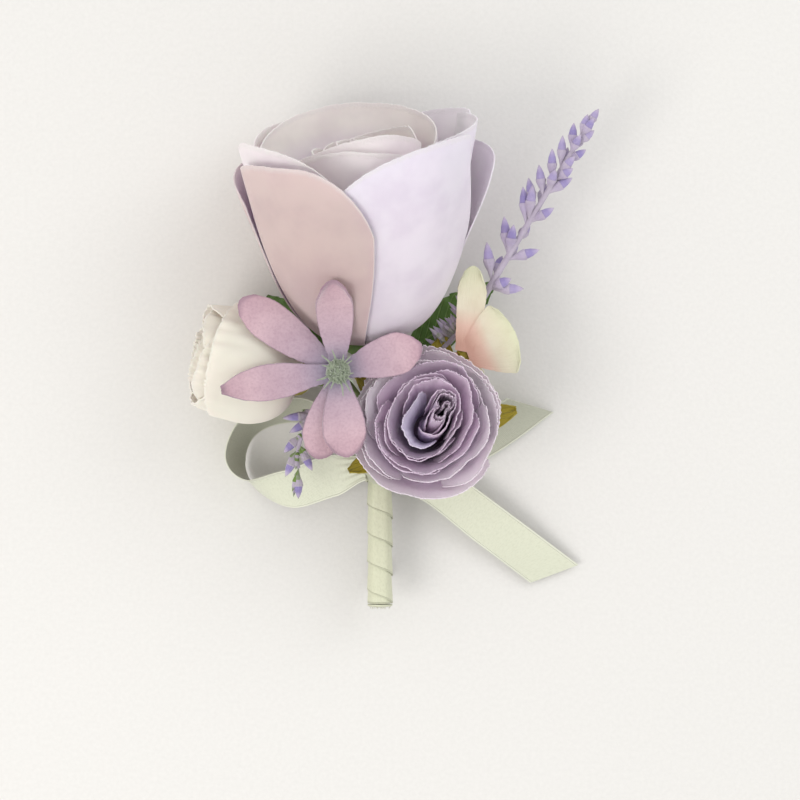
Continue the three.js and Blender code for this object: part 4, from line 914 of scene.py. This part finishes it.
def blade_place(blade, seed, start, base):
    """A blade's shape, from start millimetres off the axis and base millimetres up."""
    out = pointing(math.radians(blade["angle"]))
    side = np.cross(UP, out)
    stations, widths = zip(*blade["outline"])
    swell, cut_line = waves(seed, 3, 0.4, 1.5), rough_cut(seed + 9)

    def place(u, v):
        w = 1 - 2 * u
        fit = np.interp(v, np.linspace(0, 1, STEPS), round_off(stations, widths))
        half = blade["width"] / 2 * fit + 0.1 * cut_line(v)
        along = lerp(start, blade["length"], v) + 0.12 * cut_line(u) * (v > 0.95)
        along = along - blade["blunt"] * w**2 * late(v, 0.6)
        z = base + blade["rise"] * v**1.6 + blade["cup"] * v * w**2 + 0.35 * v * swell(u, v)
        bend = blade["bend"] * v**2
        return along[..., None] * out + (w * half + bend)[..., None] * side + z[..., None] * UP

    return place


def round_off(stations, widths):
    """Half widths in even steps along a blade, through the stations and without corners."""
    line = np.interp(np.linspace(0, 1, STEPS), stations, widths)
    padded = np.pad(line, 4, mode="edge")
    return np.convolve(padded, np.ones(9) / 9, "valid")


ROUND = [(0, 0.42), (0.15, 0.52), (0.35, 0.8), (0.55, 0.97), (0.75, 1), (0.9, 0.88), (1, 0.6)]
POINTED = [(0, 0.45), (0.2, 0.62), (0.45, 0.95), (0.65, 1), (0.85, 0.7), (1, 0.15)]
TALL = [(0, 0.6), (0.25, 0.8), (0.5, 0.95), (0.75, 1), (0.9, 0.85), (1, 0.5)]
BROAD = [(0, 0.35), (0.25, 0.6), (0.5, 0.85), (0.75, 1), (0.9, 0.95), (1, 0.75)]

# %% Six-petalled flower
star_root = from_top(-11, 19.9, 26)
star_stand = set_on(star_root, UP, (0, 1, 0))
STAR_FELT = 0.5
star_lower = [
    stamped(144, 32.5, 11, 1, -0.8, ROUND, 2.6),
    stamped(17, 23.4, 11.4, 1, -0.8, ROUND, 2.6),
    stamped(256, 24, 11, -2.6, -0.8, ROUND, 2.3),
]
star_upper = [
    stamped(93, 24, 10.1, 13.5, 0.6, ROUND, 2.6),
    stamped(189, 31.5, 9.9, 2.9, 0.6, POINTED),
    stamped(276, 23, 11.7, -1, 1.8, ROUND, 2.3),
]


def joined(name, parts):
    """Makes one piece of several."""
    bpy.ops.object.select_all(action="DESELECT")
    bpy.context.view_layer.objects.active = parts[0]
    for part in parts:
        part.select_set(True)
    bpy.ops.object.join()
    parts[0].name = parts[0].data.name = name
    return parts[0]


SHARE_OF_BLANK = 0.32


def trefoil(name, stand, blades, wall, base, material, node):
    """Blades cut as one cloth."""
    parts, area = [], 0
    for k, blade in enumerate(blades):
        place = stand(blade_place(blade, 20 + 3 * k + len(name), 1.2, base))
        part, (_, _, cut_area) = formed(f"{name}_{k}", 26, 40, place, wall, material)
        parts.append(part)
        area += cut_area
    piece = dress(joined(name, parts), [node])
    reach = max(blade["length"] for blade in blades) * 2 * MM
    area / reach / SHARE_OF_BLANK
    print(f"{name}: {len(blades)} blades of one cloth, {area / MM / MM:.0f} mm2")


for node, blades, base in (("star_petals_lower", star_lower, 0.6), ("star_petals_upper", star_upper, 1.5)):
    trefoil(node + "_felt", star_stand, blades, STAR_FELT, base, felt, node)

# %% Floret
floret_root = from_top(22.6, 24.2, 10.8)
floret_stand = set_on(floret_root, UP, (0, 1, 0))
floret_blades = [
    stamped(80, 24.5, 8, 1, 0.7, TALL, 2, 1.3),
    stamped(23, 15.4, 20, 1, 1, BROAD, 2),
    stamped(205, 8, 8.8, -1.4, 0.5, BROAD),
    stamped(285, 7, 8.8, -1.4, 0.5, BROAD),
]
trefoil(
    "floret_cloth_petals", floret_stand, floret_blades, 0.4, 0.6, floret_cloth, "floret_corolla",
)

# %% [markdown]
# ## Wires and stalks
# A stem is a wire with tape round it. A curve with a round bevel is the quickest way to one: its points are
# the wire's route, its radius may taper, and it is then turned into a mesh.

# %% Wire


def wire_along(name, points, radii, material, sides=4):
    bpy.ops.object.select_all(action="DESELECT")
    bpy.ops.curve.primitive_nurbs_path_add()
    curve = added(name).data
    curve.splines.clear()
    line = curve.splines.new("POLY")
    line.points.add(len(points) - 1)
    radii = np.broadcast_to(numbers(radii), (len(points),))
    for point, place, radius in zip(line.points, points, radii):
        point.co = (*(numbers(place) * MM), 1)
        point.radius = radius / radii.max()
    curve.bevel_depth = radii.max() * MM
    curve.bevel_resolution = sides
    curve.use_fill_caps = True
    bpy.ops.object.convert(target="MESH")
    return finished(bpy.context.object, material, ROUND_ANGLE)


# %% Stems
CUP_HEIGHTS = {"rose": 5.5, "tea": 3.4, "bud": 4, "star": 3, "floret": 3}
STEM_RADIUS = 0.75
BUNDLE_RADIUS = 1.75
STRAIGHT_END = 4.5


def bezier(a, b, c, d, count):
    return cubic(np.linspace(0, 1, count)[:, None], a, b, c, d)


def stem_exit(slot):
    """Where a stem leaves the handle: in the middle, or at an angle round it."""
    spread = 0 if slot is None else BUNDLE_RADIUS
    turn = math.radians(slot or 0)
    return from_top(spread * math.cos(turn), 0, spread * math.sin(turn))


def stem_route(slot, target, axis, leads):
    """Straight through the handle, then round to the flower along its axis."""
    out, along = stem_exit(slot), unit(axis)
    end = target - along * STRAIGHT_END
    first, second = out + (0, leads[0] * HANDLE_LENGTH, 0), end - along * leads[1] * HANDLE_LENGTH
    return np.concatenate([[out - (0, HANDLE_LENGTH, 0)], bezier(out, first, second, end, 30), [target]])


def stem(flower, slot, root, axis, leads):
    """A stem that ends inside its flower's cup."""
    target = root - unit(axis) * (0.3 * CUP_HEIGHTS[flower] + 0.3)
    name, route = f"{flower}_stem", stem_route(slot, target, axis, leads)
    dress(wire_along(name + "_wire", route, STEM_RADIUS, stem_green), [name])


stem("rose", None, rose_root, ROSE_AXIS, (0.2, 0.2))
stem("tea", 30, tea_root, tea_axis, (0.1, 0.04))
stem("bud", 150, bud_root, bud_axis, (0.2, 0.2))
stem("star", 90, star_root, UP, (0.2, 0.2))
stem("floret", 330, floret_root, UP, (0.1, 0.1))

# %% [markdown]
# ## Turned and gathered pieces
# Each flower sits in a cup with five lobes, pressed onto the stem. A cup starts as a circle, is
# extruded ring by ring along its axis, and its rim is pulled into lobes. The same turning makes the posts
# inside the roses.

# %% Turned pieces


def rings(name, sides, count):
    """A closed tube of rings one unit apart, with the ring and the angle of each of its points."""
    bpy.ops.object.select_all(action="DESELECT")
    bpy.ops.mesh.primitive_circle_add(vertices=sides, radius=1, fill_type="NGON")
    piece = added(name)
    bpy.ops.object.mode_set(mode="EDIT")
    bpy.ops.mesh.select_all(action="SELECT")
    for _ in range(count - 1):
        bpy.ops.mesh.extrude_region_move(TRANSFORM_OT_translate={"value": (0, 0, 1)})
    bpy.ops.object.mode_set(mode="OBJECT")
    x, y, z = points_of(piece.data).T
    return piece, np.clip(z.round().astype(int), 0, count - 1), np.arctan2(y, x)


def reshape(piece, points):
    """Moves the tube's points and turns its faces outwards."""
    piece.data.vertices.foreach_set("co", points.ravel())
    bpy.ops.object.mode_set(mode="EDIT")
    bpy.ops.mesh.select_all(action="SELECT")
    bpy.ops.mesh.normals_make_consistent(inside=False)
    bpy.ops.object.mode_set(mode="OBJECT")


def turned(name, profile, sides, stand, material, lobes=0, lobe=0.0):
    """A profile of (radius, height) rings, closed at both ends, whose last rings are pulled into lobes."""
    piece, ring, angle = rings(name, sides, len(profile))
    radius, height = numbers(profile)[ring].T
    share = (ring / (len(profile) - 1)) ** 2
    radius = radius * (1 + 0.03 * np.sin(9 * angle + height))
    height = height + lobe * share * np.maximum(0, np.cos(lobes * angle)) ** 2
    points = stand(lambda u, v: np.stack([radius * np.cos(angle), radius * np.sin(angle), height], -1))(0, 0)
    reshape(piece, points * MM)
    return finished(piece, material, ROUND_ANGLE)


def calyx(flower, stand, low, high, material):
    """A cup that hangs below its flower's root, with five lobes pressed against the petals."""
    height = CUP_HEIGHTS[flower]
    half, most = lerp(low, high, 0.5), lerp(low, high, 0.8)
    profile = [(0.9, -height), (low, -height), (half, -0.75 * height), (most, -0.5 * height)]
    profile += [(high, -0.12 * height), (high * 0.98, 0), (high * 0.5, -0.05 * height)]
    cup = turned(f"{flower}_calyx_cup", profile, 40, stand, material, 5, 0.8)
    dress(cup, [f"{flower}_calyx"])


calyx("rose", rose_stand, 2.2, 7.4, leaf_green)
calyx("bud", bud_stand, 1.8, 5, sepal_olive)
calyx("star", star_stand, 1.6, 2.6, leaf_green)
calyx("floret", floret_stand, 1.6, 2.2, sepal_olive)


WIDEST = 0.67


def post(name, stand, flower, radius, height, material):
    """The foam post that a rolled flower is gathered on, ending in a closed bud."""
    foot = flower["bowl"][0] * flower["radius"] - 0.5
    top = 6 * flower["pitch"]
    profile = [(0.5, 0.3), (foot, 0.3), (foot, top), (min(foot, radius) * 0.8, top * 1.3)]
    for share in np.linspace(0.3, 1, 9):
        if share < WIDEST:
            swell = math.sin(math.pi * min(0.5, share * 0.75))
        else:
            swell = math.cos((share - WIDEST) * 4.4)
        profile.append((max(0.15, radius * swell), lerp(top * 1.3, height, share)))
    dress(turned(name + "_post", profile, 28, stand, material), [name])


post("rose_core", rose_stand, rose, 3.4, 46, rose_heart)
post("bud_core", bud_stand, bud, 3.8, 20, cream_cloth)
post("tea_core", tea_stand, tea, 2.2, 11, tea_cloth)

# %% [markdown]
# ## Sepals and leaves
# The small rose keeps five olive sepals that peep out round it. The two leaves are toothed, folded along
# the middle and a little arched, each on a short stalk that rests on a stem.

# %% Sepals
sepal_rows = [(14, 25.2, 8), (80, 27, 10), (140, 24.6, 7.5), (207, 23.6, 6.5), (285, 13.5, 5.6)]
sepals = []
for k, (angle, reach, width) in enumerate(sepal_rows):
    row = stamped(angle, reach, width, 2.5, 0.6, POINTED)
    place = tea_stand(blade_place(row, 60 + k, 2.4, -0.85))
    sepals.append(formed(f"sepal_{k}", 14, 30, place, 0.4, sepal_olive)[0])
foot = -CUP_HEIGHTS["tea"]
profile = [(0.9, foot), (1.7, foot), (2.6, -2.4), (3.6, -1.5), (4.1, -0.4), (4, 0), (2, -0.1)]
cup = turned("tea_cup", profile, 40, tea_stand, sepal_olive, 5, 0.5)
dress(joined("tea_calyx_sepals", [cup, *sepals]), ["tea_calyx"])

# %% Leaves
SPRIG_AXIS = unit([0.518, 0.853, 0.06])
sprig_root = from_top(28.6, 41, 7.8)
LEAF_WIDTH = 12.5


def leaf_place(root, tip, lift, teeth):
    out = unit(tip - root)
    length = np.linalg.norm(tip - root)
    side = unit(np.cross(UP, out))
    up = np.cross(out, side)

    def place(u, v):
        w = 1 - 2 * u
        bite = 1 - 0.11 * ((v * teeth) % 1) * np.abs(w) ** 3
        half = LEAF_WIDTH / 2 * np.maximum(0.06, np.sin(math.pi * lerp(0.04, 0.985, v) ** 0.85)) * bite
        arch = np.sin(math.pi * v)
        rise = lift * arch + 1.6 * np.abs(w) * arch + 0.25 * np.sin(v * teeth * 6.28) * w**2
        return root + (length * v)[..., None] * out + (w * half)[..., None] * side + rise[..., None] * up

    return place


def leaf(name, root, tip, lift, teeth, foot):
    place = leaf_place(root, tip, lift, teeth)
    blade = formed(name + "_blade", 24, 90, place, 0.4, leaf_green)[0]
    knee = root + unit(tip - root) * 2.8
    stalk = wire_along(name + "_stalk", np.linspace(foot, knee, 6), np.linspace(0.6, 0.45, 6), stem_green)
    rib = place(np.full(14, 0.5), np.linspace(0.02, 0.9, 14)) - (0, 0, 0.25)
    midrib = wire_along(name + "_rib", rib, np.linspace(0.4, 0.12, 14), leaf_green, 2)
    dress(joined(name + "_cloth", [blade, stalk, midrib]), [name])


leaf("leaf_left", from_top(-13.5, 23.5, -2), from_top(-31, 41, -8), 1, 9, from_top(-10.4, 20.4, -1))
sprig_route = stem_route(270, sprig_root, SPRIG_AXIS, (0.3, 0.3))
leaf_low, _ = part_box("leaf_right")
near = sprig_route[np.argmin(np.abs(sprig_route[2:-2, 0] - leaf_low.x / MM - 1)) + 2]
leaf("leaf_right", from_top(8, 25, -3.5), from_top(32, 45, -5.5), 1, 10, near - (0, 0, 1.5))

# %% [markdown]
# ## Lavender
# Each floret is a flocked cup with pointed lobes and a violet bud in it. One is modelled, and every other
# is a copy with its own mesh, turned and scaled to its place: far apart at the foot of the sprig, crowded
# at its tip. A row says at which shares of the sprig's length a floret starts and ends, and how many
# millimetres its tip lies to the right of the twig and in front of it.

# %% One floret of lavender
cup_profile = [(0.14, 0), (0.2, 0.14), (0.44, 0.3), (0.8, 0.45), (0.94, 0.56), (0.86, 0.6), (0.68, 0.5)]
bud_profile = [(0.8, 0.62), (0.66, 0.76), (0.36, 0.9), (0.04, 1)]
whole = numbers(cup_profile + bud_profile)
floret, ring, angle = rings("floret_pattern", 10, len(whole))
lobed = (0.22 * np.isin(ring, (4, 5)) + 0.08 * (ring == 3)) * np.cos(5 * angle)
radius, height = whole[ring].T
reshape(floret, np.stack([radius * np.cos(angle), radius * np.sin(angle), height + lobed], 1))
tint = floret.data.attributes.new("tint", "FLOAT", "POINT")
tint.data.foreach_set("value", numbers((0.3, 0.3, 0.35, 0.5, 0.4, 0.5, 0.8, 0.95, 1, 0.7, 0.3))[ring])
floret.data.materials.append(lavender)
FLATTER = 0.75
print("one floret of lavender has", len(floret.data.polygons), "faces")


def floret_copy(from_, to, width, violet, green=0.0):
    """A copy of the floret that stands from one point to another, its cup greener or its bud more violet."""
    copy = bpy.data.objects.new("floret", floret.data.copy())
    scene.collection.objects.link(copy)
    z = unit(to - from_)
    x = unit(np.cross((0.3, 0.2, 1), z))
    turn = np.stack([x * width, np.cross(z, x) * width * FLATTER, z * np.linalg.norm(to - from_)], 1)
    frame_of = Matrix((turn * MM).tolist()).to_4x4()
    frame_of.translation = Vector(from_ * MM)
    copy.data.transform(frame_of)
    values = numbers([d.value for d in copy.data.attributes["tint"].data])
    values = values * violet - green * (values < 0.9)
    copy.data.attributes["tint"].data.foreach_set("value", np.clip(values, 0, 1))
    return copy


# %% Sprig
rng = np.random.default_rng(11)
across = unit(np.cross(UP, SPRIG_AXIS))
lift = np.cross(SPRIG_AXIS, across)
SPRIG_LENGTH = 56
TWIG_TINT = 0.28
BRACTS_FROM, BRACTS_TO = 26, 39


def twig(name, points, radii):
    piece = wire_along(name, points, radii, lavender, 3)
    tint = piece.data.attributes.new("tint", "FLOAT", "POINT")
    tint.data.foreach_set("value", np.full(len(piece.data.vertices), TWIG_TINT))
    return piece


sprig = SPRIG_AXIS * SPRIG_LENGTH
radii = [*np.full(len(sprig_route) - 2, STEM_RADIUS), 0.95, 0.95, 0.6]
parts = [twig("sprig_twig", [*sprig_route, sprig_root + sprig], radii)]
sprig_florets = [
    (0.06, 0.22, -7, 0.5), (0.03, 0.12, 8.2, 0.5), (0.03, 0.13, 3.8, 2.5), (0.19, 0.32, 6.3, 0),
    (0.21, 0.37, -6.6, 0), (0.21, 0.36, -3.2, 2), (0.4, 0.53, 3.8, 1), (0.38, 0.54, -6.4, 0),
    (0.4, 0.57, -4.4, 2), (0.56, 0.7, 3.8, 0.5), (0.46, 0.59, -6.4, -1.5), (0.54, 0.67, -5.8, 1),
    (0.62, 0.77, -5, 1), (0.7, 0.85, -4.4, 0.5), (0.8, 0.93, -3.6, 0), (0.74, 0.85, 3, 0),
    (0.84, 0.95, 2.2, 0.5), (0.64, 0.74, 2.6, 2), (0.88, 1, -1.6, 1), (0.93, 1.05, 0.2, 0),
]
for share in np.linspace(0.1, 0.92, 9):
    sprig_florets.append((share - 0.02, share + 0.1, rng.uniform(-2, 2), 2 * share - 4.4))
    if share > 0.55:
        sprig_florets.append((share - 0.04, share + 0.08, rng.uniform(-1.5, 1.5), 2.6))
for low, high, right, forward in sprig_florets:
    from_ = sprig_root + sprig * low
    to = sprig_root + sprig * high - across * right + lift * forward
    parts.append(floret_copy(from_, to, lerp(1.8, 1.35, low), rng.uniform(0.75, 1.1)))
for point in [p for p in sprig_route if BRACTS_FROM < p[1] - HANDLE_TOP[1] < BRACTS_TO]:
    for _ in range(4):
        bract = point + (rng.uniform(-5.5, -0.5), rng.uniform(2, 6), rng.uniform(-1, 1.5))
        parts.append(floret_copy(point, bract, 0.75, rng.uniform(0.3, 0.6)))
dress(joined("lavender_sprig_flocked", parts), ["lavender_sprig"])

# %% Shoot
crest = from_top(-16, 8.4, 10.5)
shoot_end = from_top(-22, -6.1, 12.5)
out = stem_exit(210)
rise_route = bezier(out, from_top(-1.5, 5, -1), from_top(-10, 8, -1.5), crest, 20)
fall_route = bezier(crest, from_top(-21, 6.5, 13.5), from_top(-23, -2, 13.5), shoot_end, 16)
route = np.concatenate([[out - (0, HANDLE_LENGTH, 0)], rise_route, fall_route[1:]])
parts = [twig("shoot_twig", route, np.linspace(STEM_RADIUS, 0.55, len(route)))]
shoot_ends = (
    (-26.4, 7.4, 13, 0), (-24.5, 3.4, 13, 1), (-20, 2, 15.5, 3), (-16.6, 1.6, 13.5, 4),
    (-26, -2, 13, 6), (-18.2, -6.8, 14.5, 9), (-25.5, -8.4, 13, 10), (-22, -14.4, 12.5, 15),
)
for x, y, z, start in shoot_ends:
    from_, to = fall_route[start], from_top(x, y, z)
    parts.append(floret_copy(from_, to, 1.45, 1.05, 0.22))
    for _ in range(4):
        leaf_to = lerp(from_, to, rng.uniform(0.45, 0.75)) + rng.uniform(-1.8, 1.8, 3) * (1, 1, 0.6)
        parts.append(floret_copy(from_, leaf_to, 0.8, 0.3, rng.uniform(0.05, 0.2)))
dress(joined("lavender_shoot_flocked", parts), ["lavender_shoot"])
bpy.data.objects.remove(floret)

# %% [markdown]
# ## The sage button
# A low dome hidden under a tuft: thirteen longer filaments reach out over the felt and some ninety short
# ones stand up from the dome. Each filament is a thin tapered wire.

# %% Button
profile = [(0.5, 2.3), (3.1, 2.3), (3.3, 2.8), (2.9, 3.9), (2.1, 4.5), (1.0, 4.9), (0.2, 5)]
tufts = [turned("button_dome", profile, 28, star_stand, sage)]
button_root = star_root + (0, 0, 2.3)
LONG_FILAMENTS, FILAMENTS = 13, 104
for k in range(FILAMENTS):
    long = k < LONG_FILAMENTS
    if long:
        angle, reach = TAU * (k + rng.uniform(-0.4, 0.4)) / LONG_FILAMENTS, rng.uniform(3.6, 6.4)
        level, sag, radii = 1.9, 0.7, [0.3, 0.26, 0.12]
    else:
        angle, reach = rng.uniform(0, TAU), rng.uniform(0.2, 3.2)
        level, sag, radii = 3.6 - 0.22 * reach**1.6, 0.3, [0.28, 0.24, 0.1]
    low = button_root + pointing(angle) * min(1.8, reach) + (0, 0, 1.0)
    high = button_root + pointing(angle) * (reach + 0.5) + (0, 0, level)
    bend = (low + high) / 2 + (rng.uniform(-0.4, 0.4), rng.uniform(-0.4, 0.4), sag)
    tufts.append(wire_along("filament", [low, bend, high], radii, sage, 1))
dress(joined("star_button_tuft", tufts), ["star_button"])

# %% [markdown]
# ## Satin ribbon
# One ribbon ties the bow: a loop to the left whose near half shows its face and whose far half shows its
# back, a long tail to the lower right and a short one behind the small rose, both cut on the slant. A
# ribbon hardly stretches, so it is drawn as a centre line with a direction across it at every station. The
# line between the stations is the same centripetal curve that the solids use, which never overshoots.

# %% A curve through stations


def through(stations):
    """A centripetal curve through the stations, as a function of a share from 0 to 1."""
    stations = numbers(stations)
    ends = 2 * stations[0] - stations[1], 2 * stations[-1] - stations[-2]
    ringed = np.concatenate([[ends[0]], stations, [ends[1]]])
    last = len(stations) - 2

    def at(t):
        t = np.clip(numbers(t).ravel(), 0, 1) * (last + 1)
        k = np.minimum(t.astype(int), last)
        w = (t - k)[:, None]
        p = [ringed[k + j] for j in range(4)]
        d = [np.maximum(np.linalg.norm(p[j + 1] - p[j], axis=1), 1e-6)[:, None] ** 0.5 for j in range(3)]
        start = ((p[1] - p[0]) / d[0] - (p[2] - p[0]) / (d[0] + d[1]) + (p[2] - p[1]) / d[1]) * d[1]
        stop = ((p[2] - p[1]) / d[1] - (p[3] - p[1]) / (d[1] + d[2]) + (p[3] - p[2]) / d[2]) * d[1]
        a = 2 * p[1] - 2 * p[2] + start + stop
        b = 3 * (p[2] - p[1]) - 2 * start - stop
        return a * w**3 + b * w**2 + start * w + p[1]

    return at


def ribbon_place(rows, cut_by, sway, seed):
    """Rows give a station from the handle's top, the direction across the ribbon, and its width there."""
    stations, sides, widths = zip(*rows)
    line, over_it = through([from_top(*station) for station in stations]), through(sides)
    widths = numbers(widths)
    swell = waves(seed, 3, 0.6, 2.4)

    def place(u, v):
        k = v * (len(rows) - 1)
        row = np.minimum(k.astype(int), len(rows) - 2)
        width = lerp(widths[row], widths[row + 1], smooth(k - row))
        tangent = line(v + 1e-4) - line(v - 1e-4)
        tangent /= np.linalg.norm(tangent, axis=1)[:, None]
        side = over_it(v)
        side -= (side * tangent).sum(1)[:, None] * tangent
        side /= np.linalg.norm(side, axis=1)[:, None]
        gather = 1 - width / widths.max()
        pleat = 0.55 * gather * np.sin(5 * TAU * u) + sway * swell(0.3 * u, v)
        slant = cut_by * (0.5 - u) * late(v, 2 / 3)
        normal = np.cross(side, tangent)
        across = ((u - 0.5) * width)[:, None] * side
        return line(v) + across + slant[:, None] * tangent + pleat[:, None] * normal

    return place


# %% Loop and tails
FULL = 12  # a common width of ribbon
loop_rows = [
    ((-4.5, -6, 5.9), (0, 1, 0), 7),
    ((-14.2, -8.6, 2.6), (0, 0.94, 0.34), FULL),
    ((-24.5, -12, -1), (0.05, 0.85, 0.52), FULL),
    ((-34.4, -11, -5.2), (-0.2, 0.3, 0.93), FULL),
    ((-39.5, -4.4, -5.6), (-0.42, 0.1, 0.9), FULL),
    ((-37.1, 3.6, -6.4), (-0.36, 0.3, 0.88), FULL),
    ((-30.8, 8, -7.1), (-0.2, 0.48, 0.85), FULL),
    ((-20.5, 9.2, -7.4), (0, 0.6, 0.8), FULL),
    ((-10.3, 2, -4.4), (0.1, 0.5, 0.85), 9.6),
    ((-4.4, -5.4, 0), (0, 0.3, 0.95), 4.9),
]
lower_rows = [
    ((4.5, -7.6, 2.9), (-0.5, -0.86, 0), 4.2),
    ((13.6, -10.2, -4.4), (-0.6, -0.8, 0.1), 10.8),
    ((31.6, -23.3, -8.4), (-0.6, -0.8, -0.15), FULL),
    ((48, -35.6, -11.2), (-0.6, -0.8, -0.1), FULL),
]
side_rows = [
    ((4.5, -3.6, 6.3), (-0.2, 0.95, 0), 4.2),
    ((11.7, -4.6, 1.2), (-0.2, 0.9, 0.1), 8.4),
    ((26.1, 1.2, -7.5), (-0.28, 0.9, 0.1), FULL),
    ((41.3, 10.8, -8.8), (-0.27, 0.8, 0.5), FULL),
]
for name, rows, steps, cut_by, sway in (
    ("ribbon_loop", loop_rows, 200, 0, 0.25),
    ("ribbon_tail_lower", lower_rows, 110, 7.6, 0.3),
    ("ribbon_tail_side", side_rows, 90, 9.5, 0.3),
):
    laid_cloth(
        name + "_satin", 36, steps, ribbon_place(rows, cut_by, sway, len(name)), 0.3, ribbon_satin,
        [name], "satin_ribbon", "gathered", ["glue_bed"],
    )

# %% [markdown]
# ## Tie and knot
# The ribbon goes once round the handle, drawn into soft pleats, and its knot sits on the front under the
# flowers. The knot is a ball pressed flat, whose cloth is drawn into pleats.

# %% Tie and knot
TIE_Y = -6
TIE_RADIUS, TIE_LENGTH = 3.8, 8
KNOT_HALF = numbers([4.0, 4.5, 1.75])
KNOT_LEVEL = 6.25


def tie_place(u, v):
    turn = TAU * u
    pleats = 0.18 * np.sin(math.pi * 6 * v + 1.2 * np.sin(turn)) + 0.08 * np.sin(3 * turn + 9 * v)
    r = TIE_RADIUS + pleats
    along = TIE_Y + TIE_LENGTH * (v - 0.5) + 0.2 * np.sin(2 * turn)
    return HANDLE_TOP + np.stack([-r * np.cos(turn), along, r * np.sin(turn)], -1)


laid_cloth("ribbon_tie_satin", 72, 30, tie_place, 0.3, wrap_satin, ["ribbon_tie"], "satin_ribbon")


def knot_place(u, v):
    turn, rise = TAU * u, math.pi * lerp(0.003, 0.997, v)
    pleats = 1 + 0.06 * np.sin(11 * rise + 1.4 * np.sin(turn)) * np.sin(rise)
    x = np.sin(rise) ** 0.8 * np.cos(turn) * pleats
    z = np.sin(rise) ** 0.7 * np.sin(turn) * pleats
    return HANDLE_TOP + (0, TIE_Y, KNOT_LEVEL) + np.stack([x, -np.cos(rise), z], -1) * KNOT_HALF


knot, _ = formed("ribbon_knot_satin", 60, 44, knot_place, 0.25, wrap_satin)
dress(knot, ["ribbon_knot"])

# %% [markdown]
# ## Handle
# The stems are taped together and wrapped with the same satin, each turn laid over a third of the last one,
# so that only slanting edges show. The first turn goes straight round the foot, the others climb as one
# helix whose covered edge lies deeper than its free edge. The lower end is folded under and glued.

# %% Wrap
PITCH = 6.2
WRAP_WIDTH = 9.4
wrap_low, wrap_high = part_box("handle_wrap")
WRAP_RISE = (wrap_high.y - wrap_low.y) / MM
TURNS = (WRAP_RISE - WRAP_WIDTH) / PITCH
WRAP_FOOT = wrap_low.y / MM
FREE_EDGE, COVERED_EDGE = 3.36, 2.92
fuzz = waves(5, 5, 1, 9)


def round_handle(r, turn, height):
    """The place at a radius from the handle's axis, an angle round it and a height along it."""
    return np.stack([HANDLE_TOP[0] + r * np.cos(turn), height, HANDLE_TOP[2] + r * np.sin(turn)], -1)


def wrap_place(u, v):
    turn = TAU * TURNS * v
    climb = np.maximum(0, TURNS * v - 1) * PITCH * TURNS / (TURNS - 1)
    height = WRAP_FOOT + climb + WRAP_WIDTH * u
    bundle = 0.09 * np.cos(6 * turn) + 0.07 * fuzz(u, v * 7)
    free = FREE_EDGE - 0.2 * (1 - smooth(TURNS * v))
    return round_handle(lerp(free, COVERED_EDGE, u) + bundle, turn, height)


laid_cloth(
    "handle_wrap_satin", 14, 420, wrap_place, 0.17, wrap_satin, ["handle_wrap"], "satin_ribbon", "stretched"
)

# %% Tape under the wrap
TAPE_RADIUS = 2.66


def tape_place(u, v):
    turn = -TAU * u
    r = TAPE_RADIUS + 0.06 * np.sin(6 * turn + 30 * v)
    return round_handle(r, turn, tape_low.y / MM + (HANDLE_LENGTH - TAPE_SHORT) * v)


tape, _ = formed("handle_tape_wound", 48, 120, tape_place, 0.25, bundle_tape)
dress(tape, ["handle_tape"])

# %% Folded end
_, end_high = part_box("handle_end")
foot_y = end_high.y / MM
end_stand = set_on((HANDLE_TOP[0], foot_y, HANDLE_TOP[2]), (0, -1, 0), UP)
profile = [(3.25, 0.1), (3.38, -0.05), (3.3, 0.35), (2.7, 0.62), (1.4, 0.7), (0.3, 0.55)]
ends = [turned("fold", profile, 40, end_stand, wrap_satin)]
LOOSE_THREADS = 26
for k in range(LOOSE_THREADS):
    angle = rng.uniform(0, TAU)
    root = round_handle(rng.uniform(0.8, 3.1), angle, foot_y - 0.4)
    tip = root + (rng.uniform(-0.5, 0.5), -rng.uniform(0.4, 1.1), rng.uniform(-0.5, 0.5))
    middle = (root + tip) / 2 + (0.1, 0, 0.1)
    ends.append(wire_along("thread", [root, middle, tip], [0.09, 0.07, 0.04], wrap_satin, 0))
dress(joined("handle_end_folded", ends), ["handle_end"])

# %% [markdown]
# ## Finish
# The pin and the bed of glue stay as the solids are, and only get their materials.

# %% Finish
kept = {"pin_bar": steel, "pin_needle": steel, "pin_rivet": steel, "catch_rotor": steel, "glue_bed": glue}
for node, material in kept.items():
    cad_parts[node].data.materials.clear()
    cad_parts[node].data.materials.append(material)
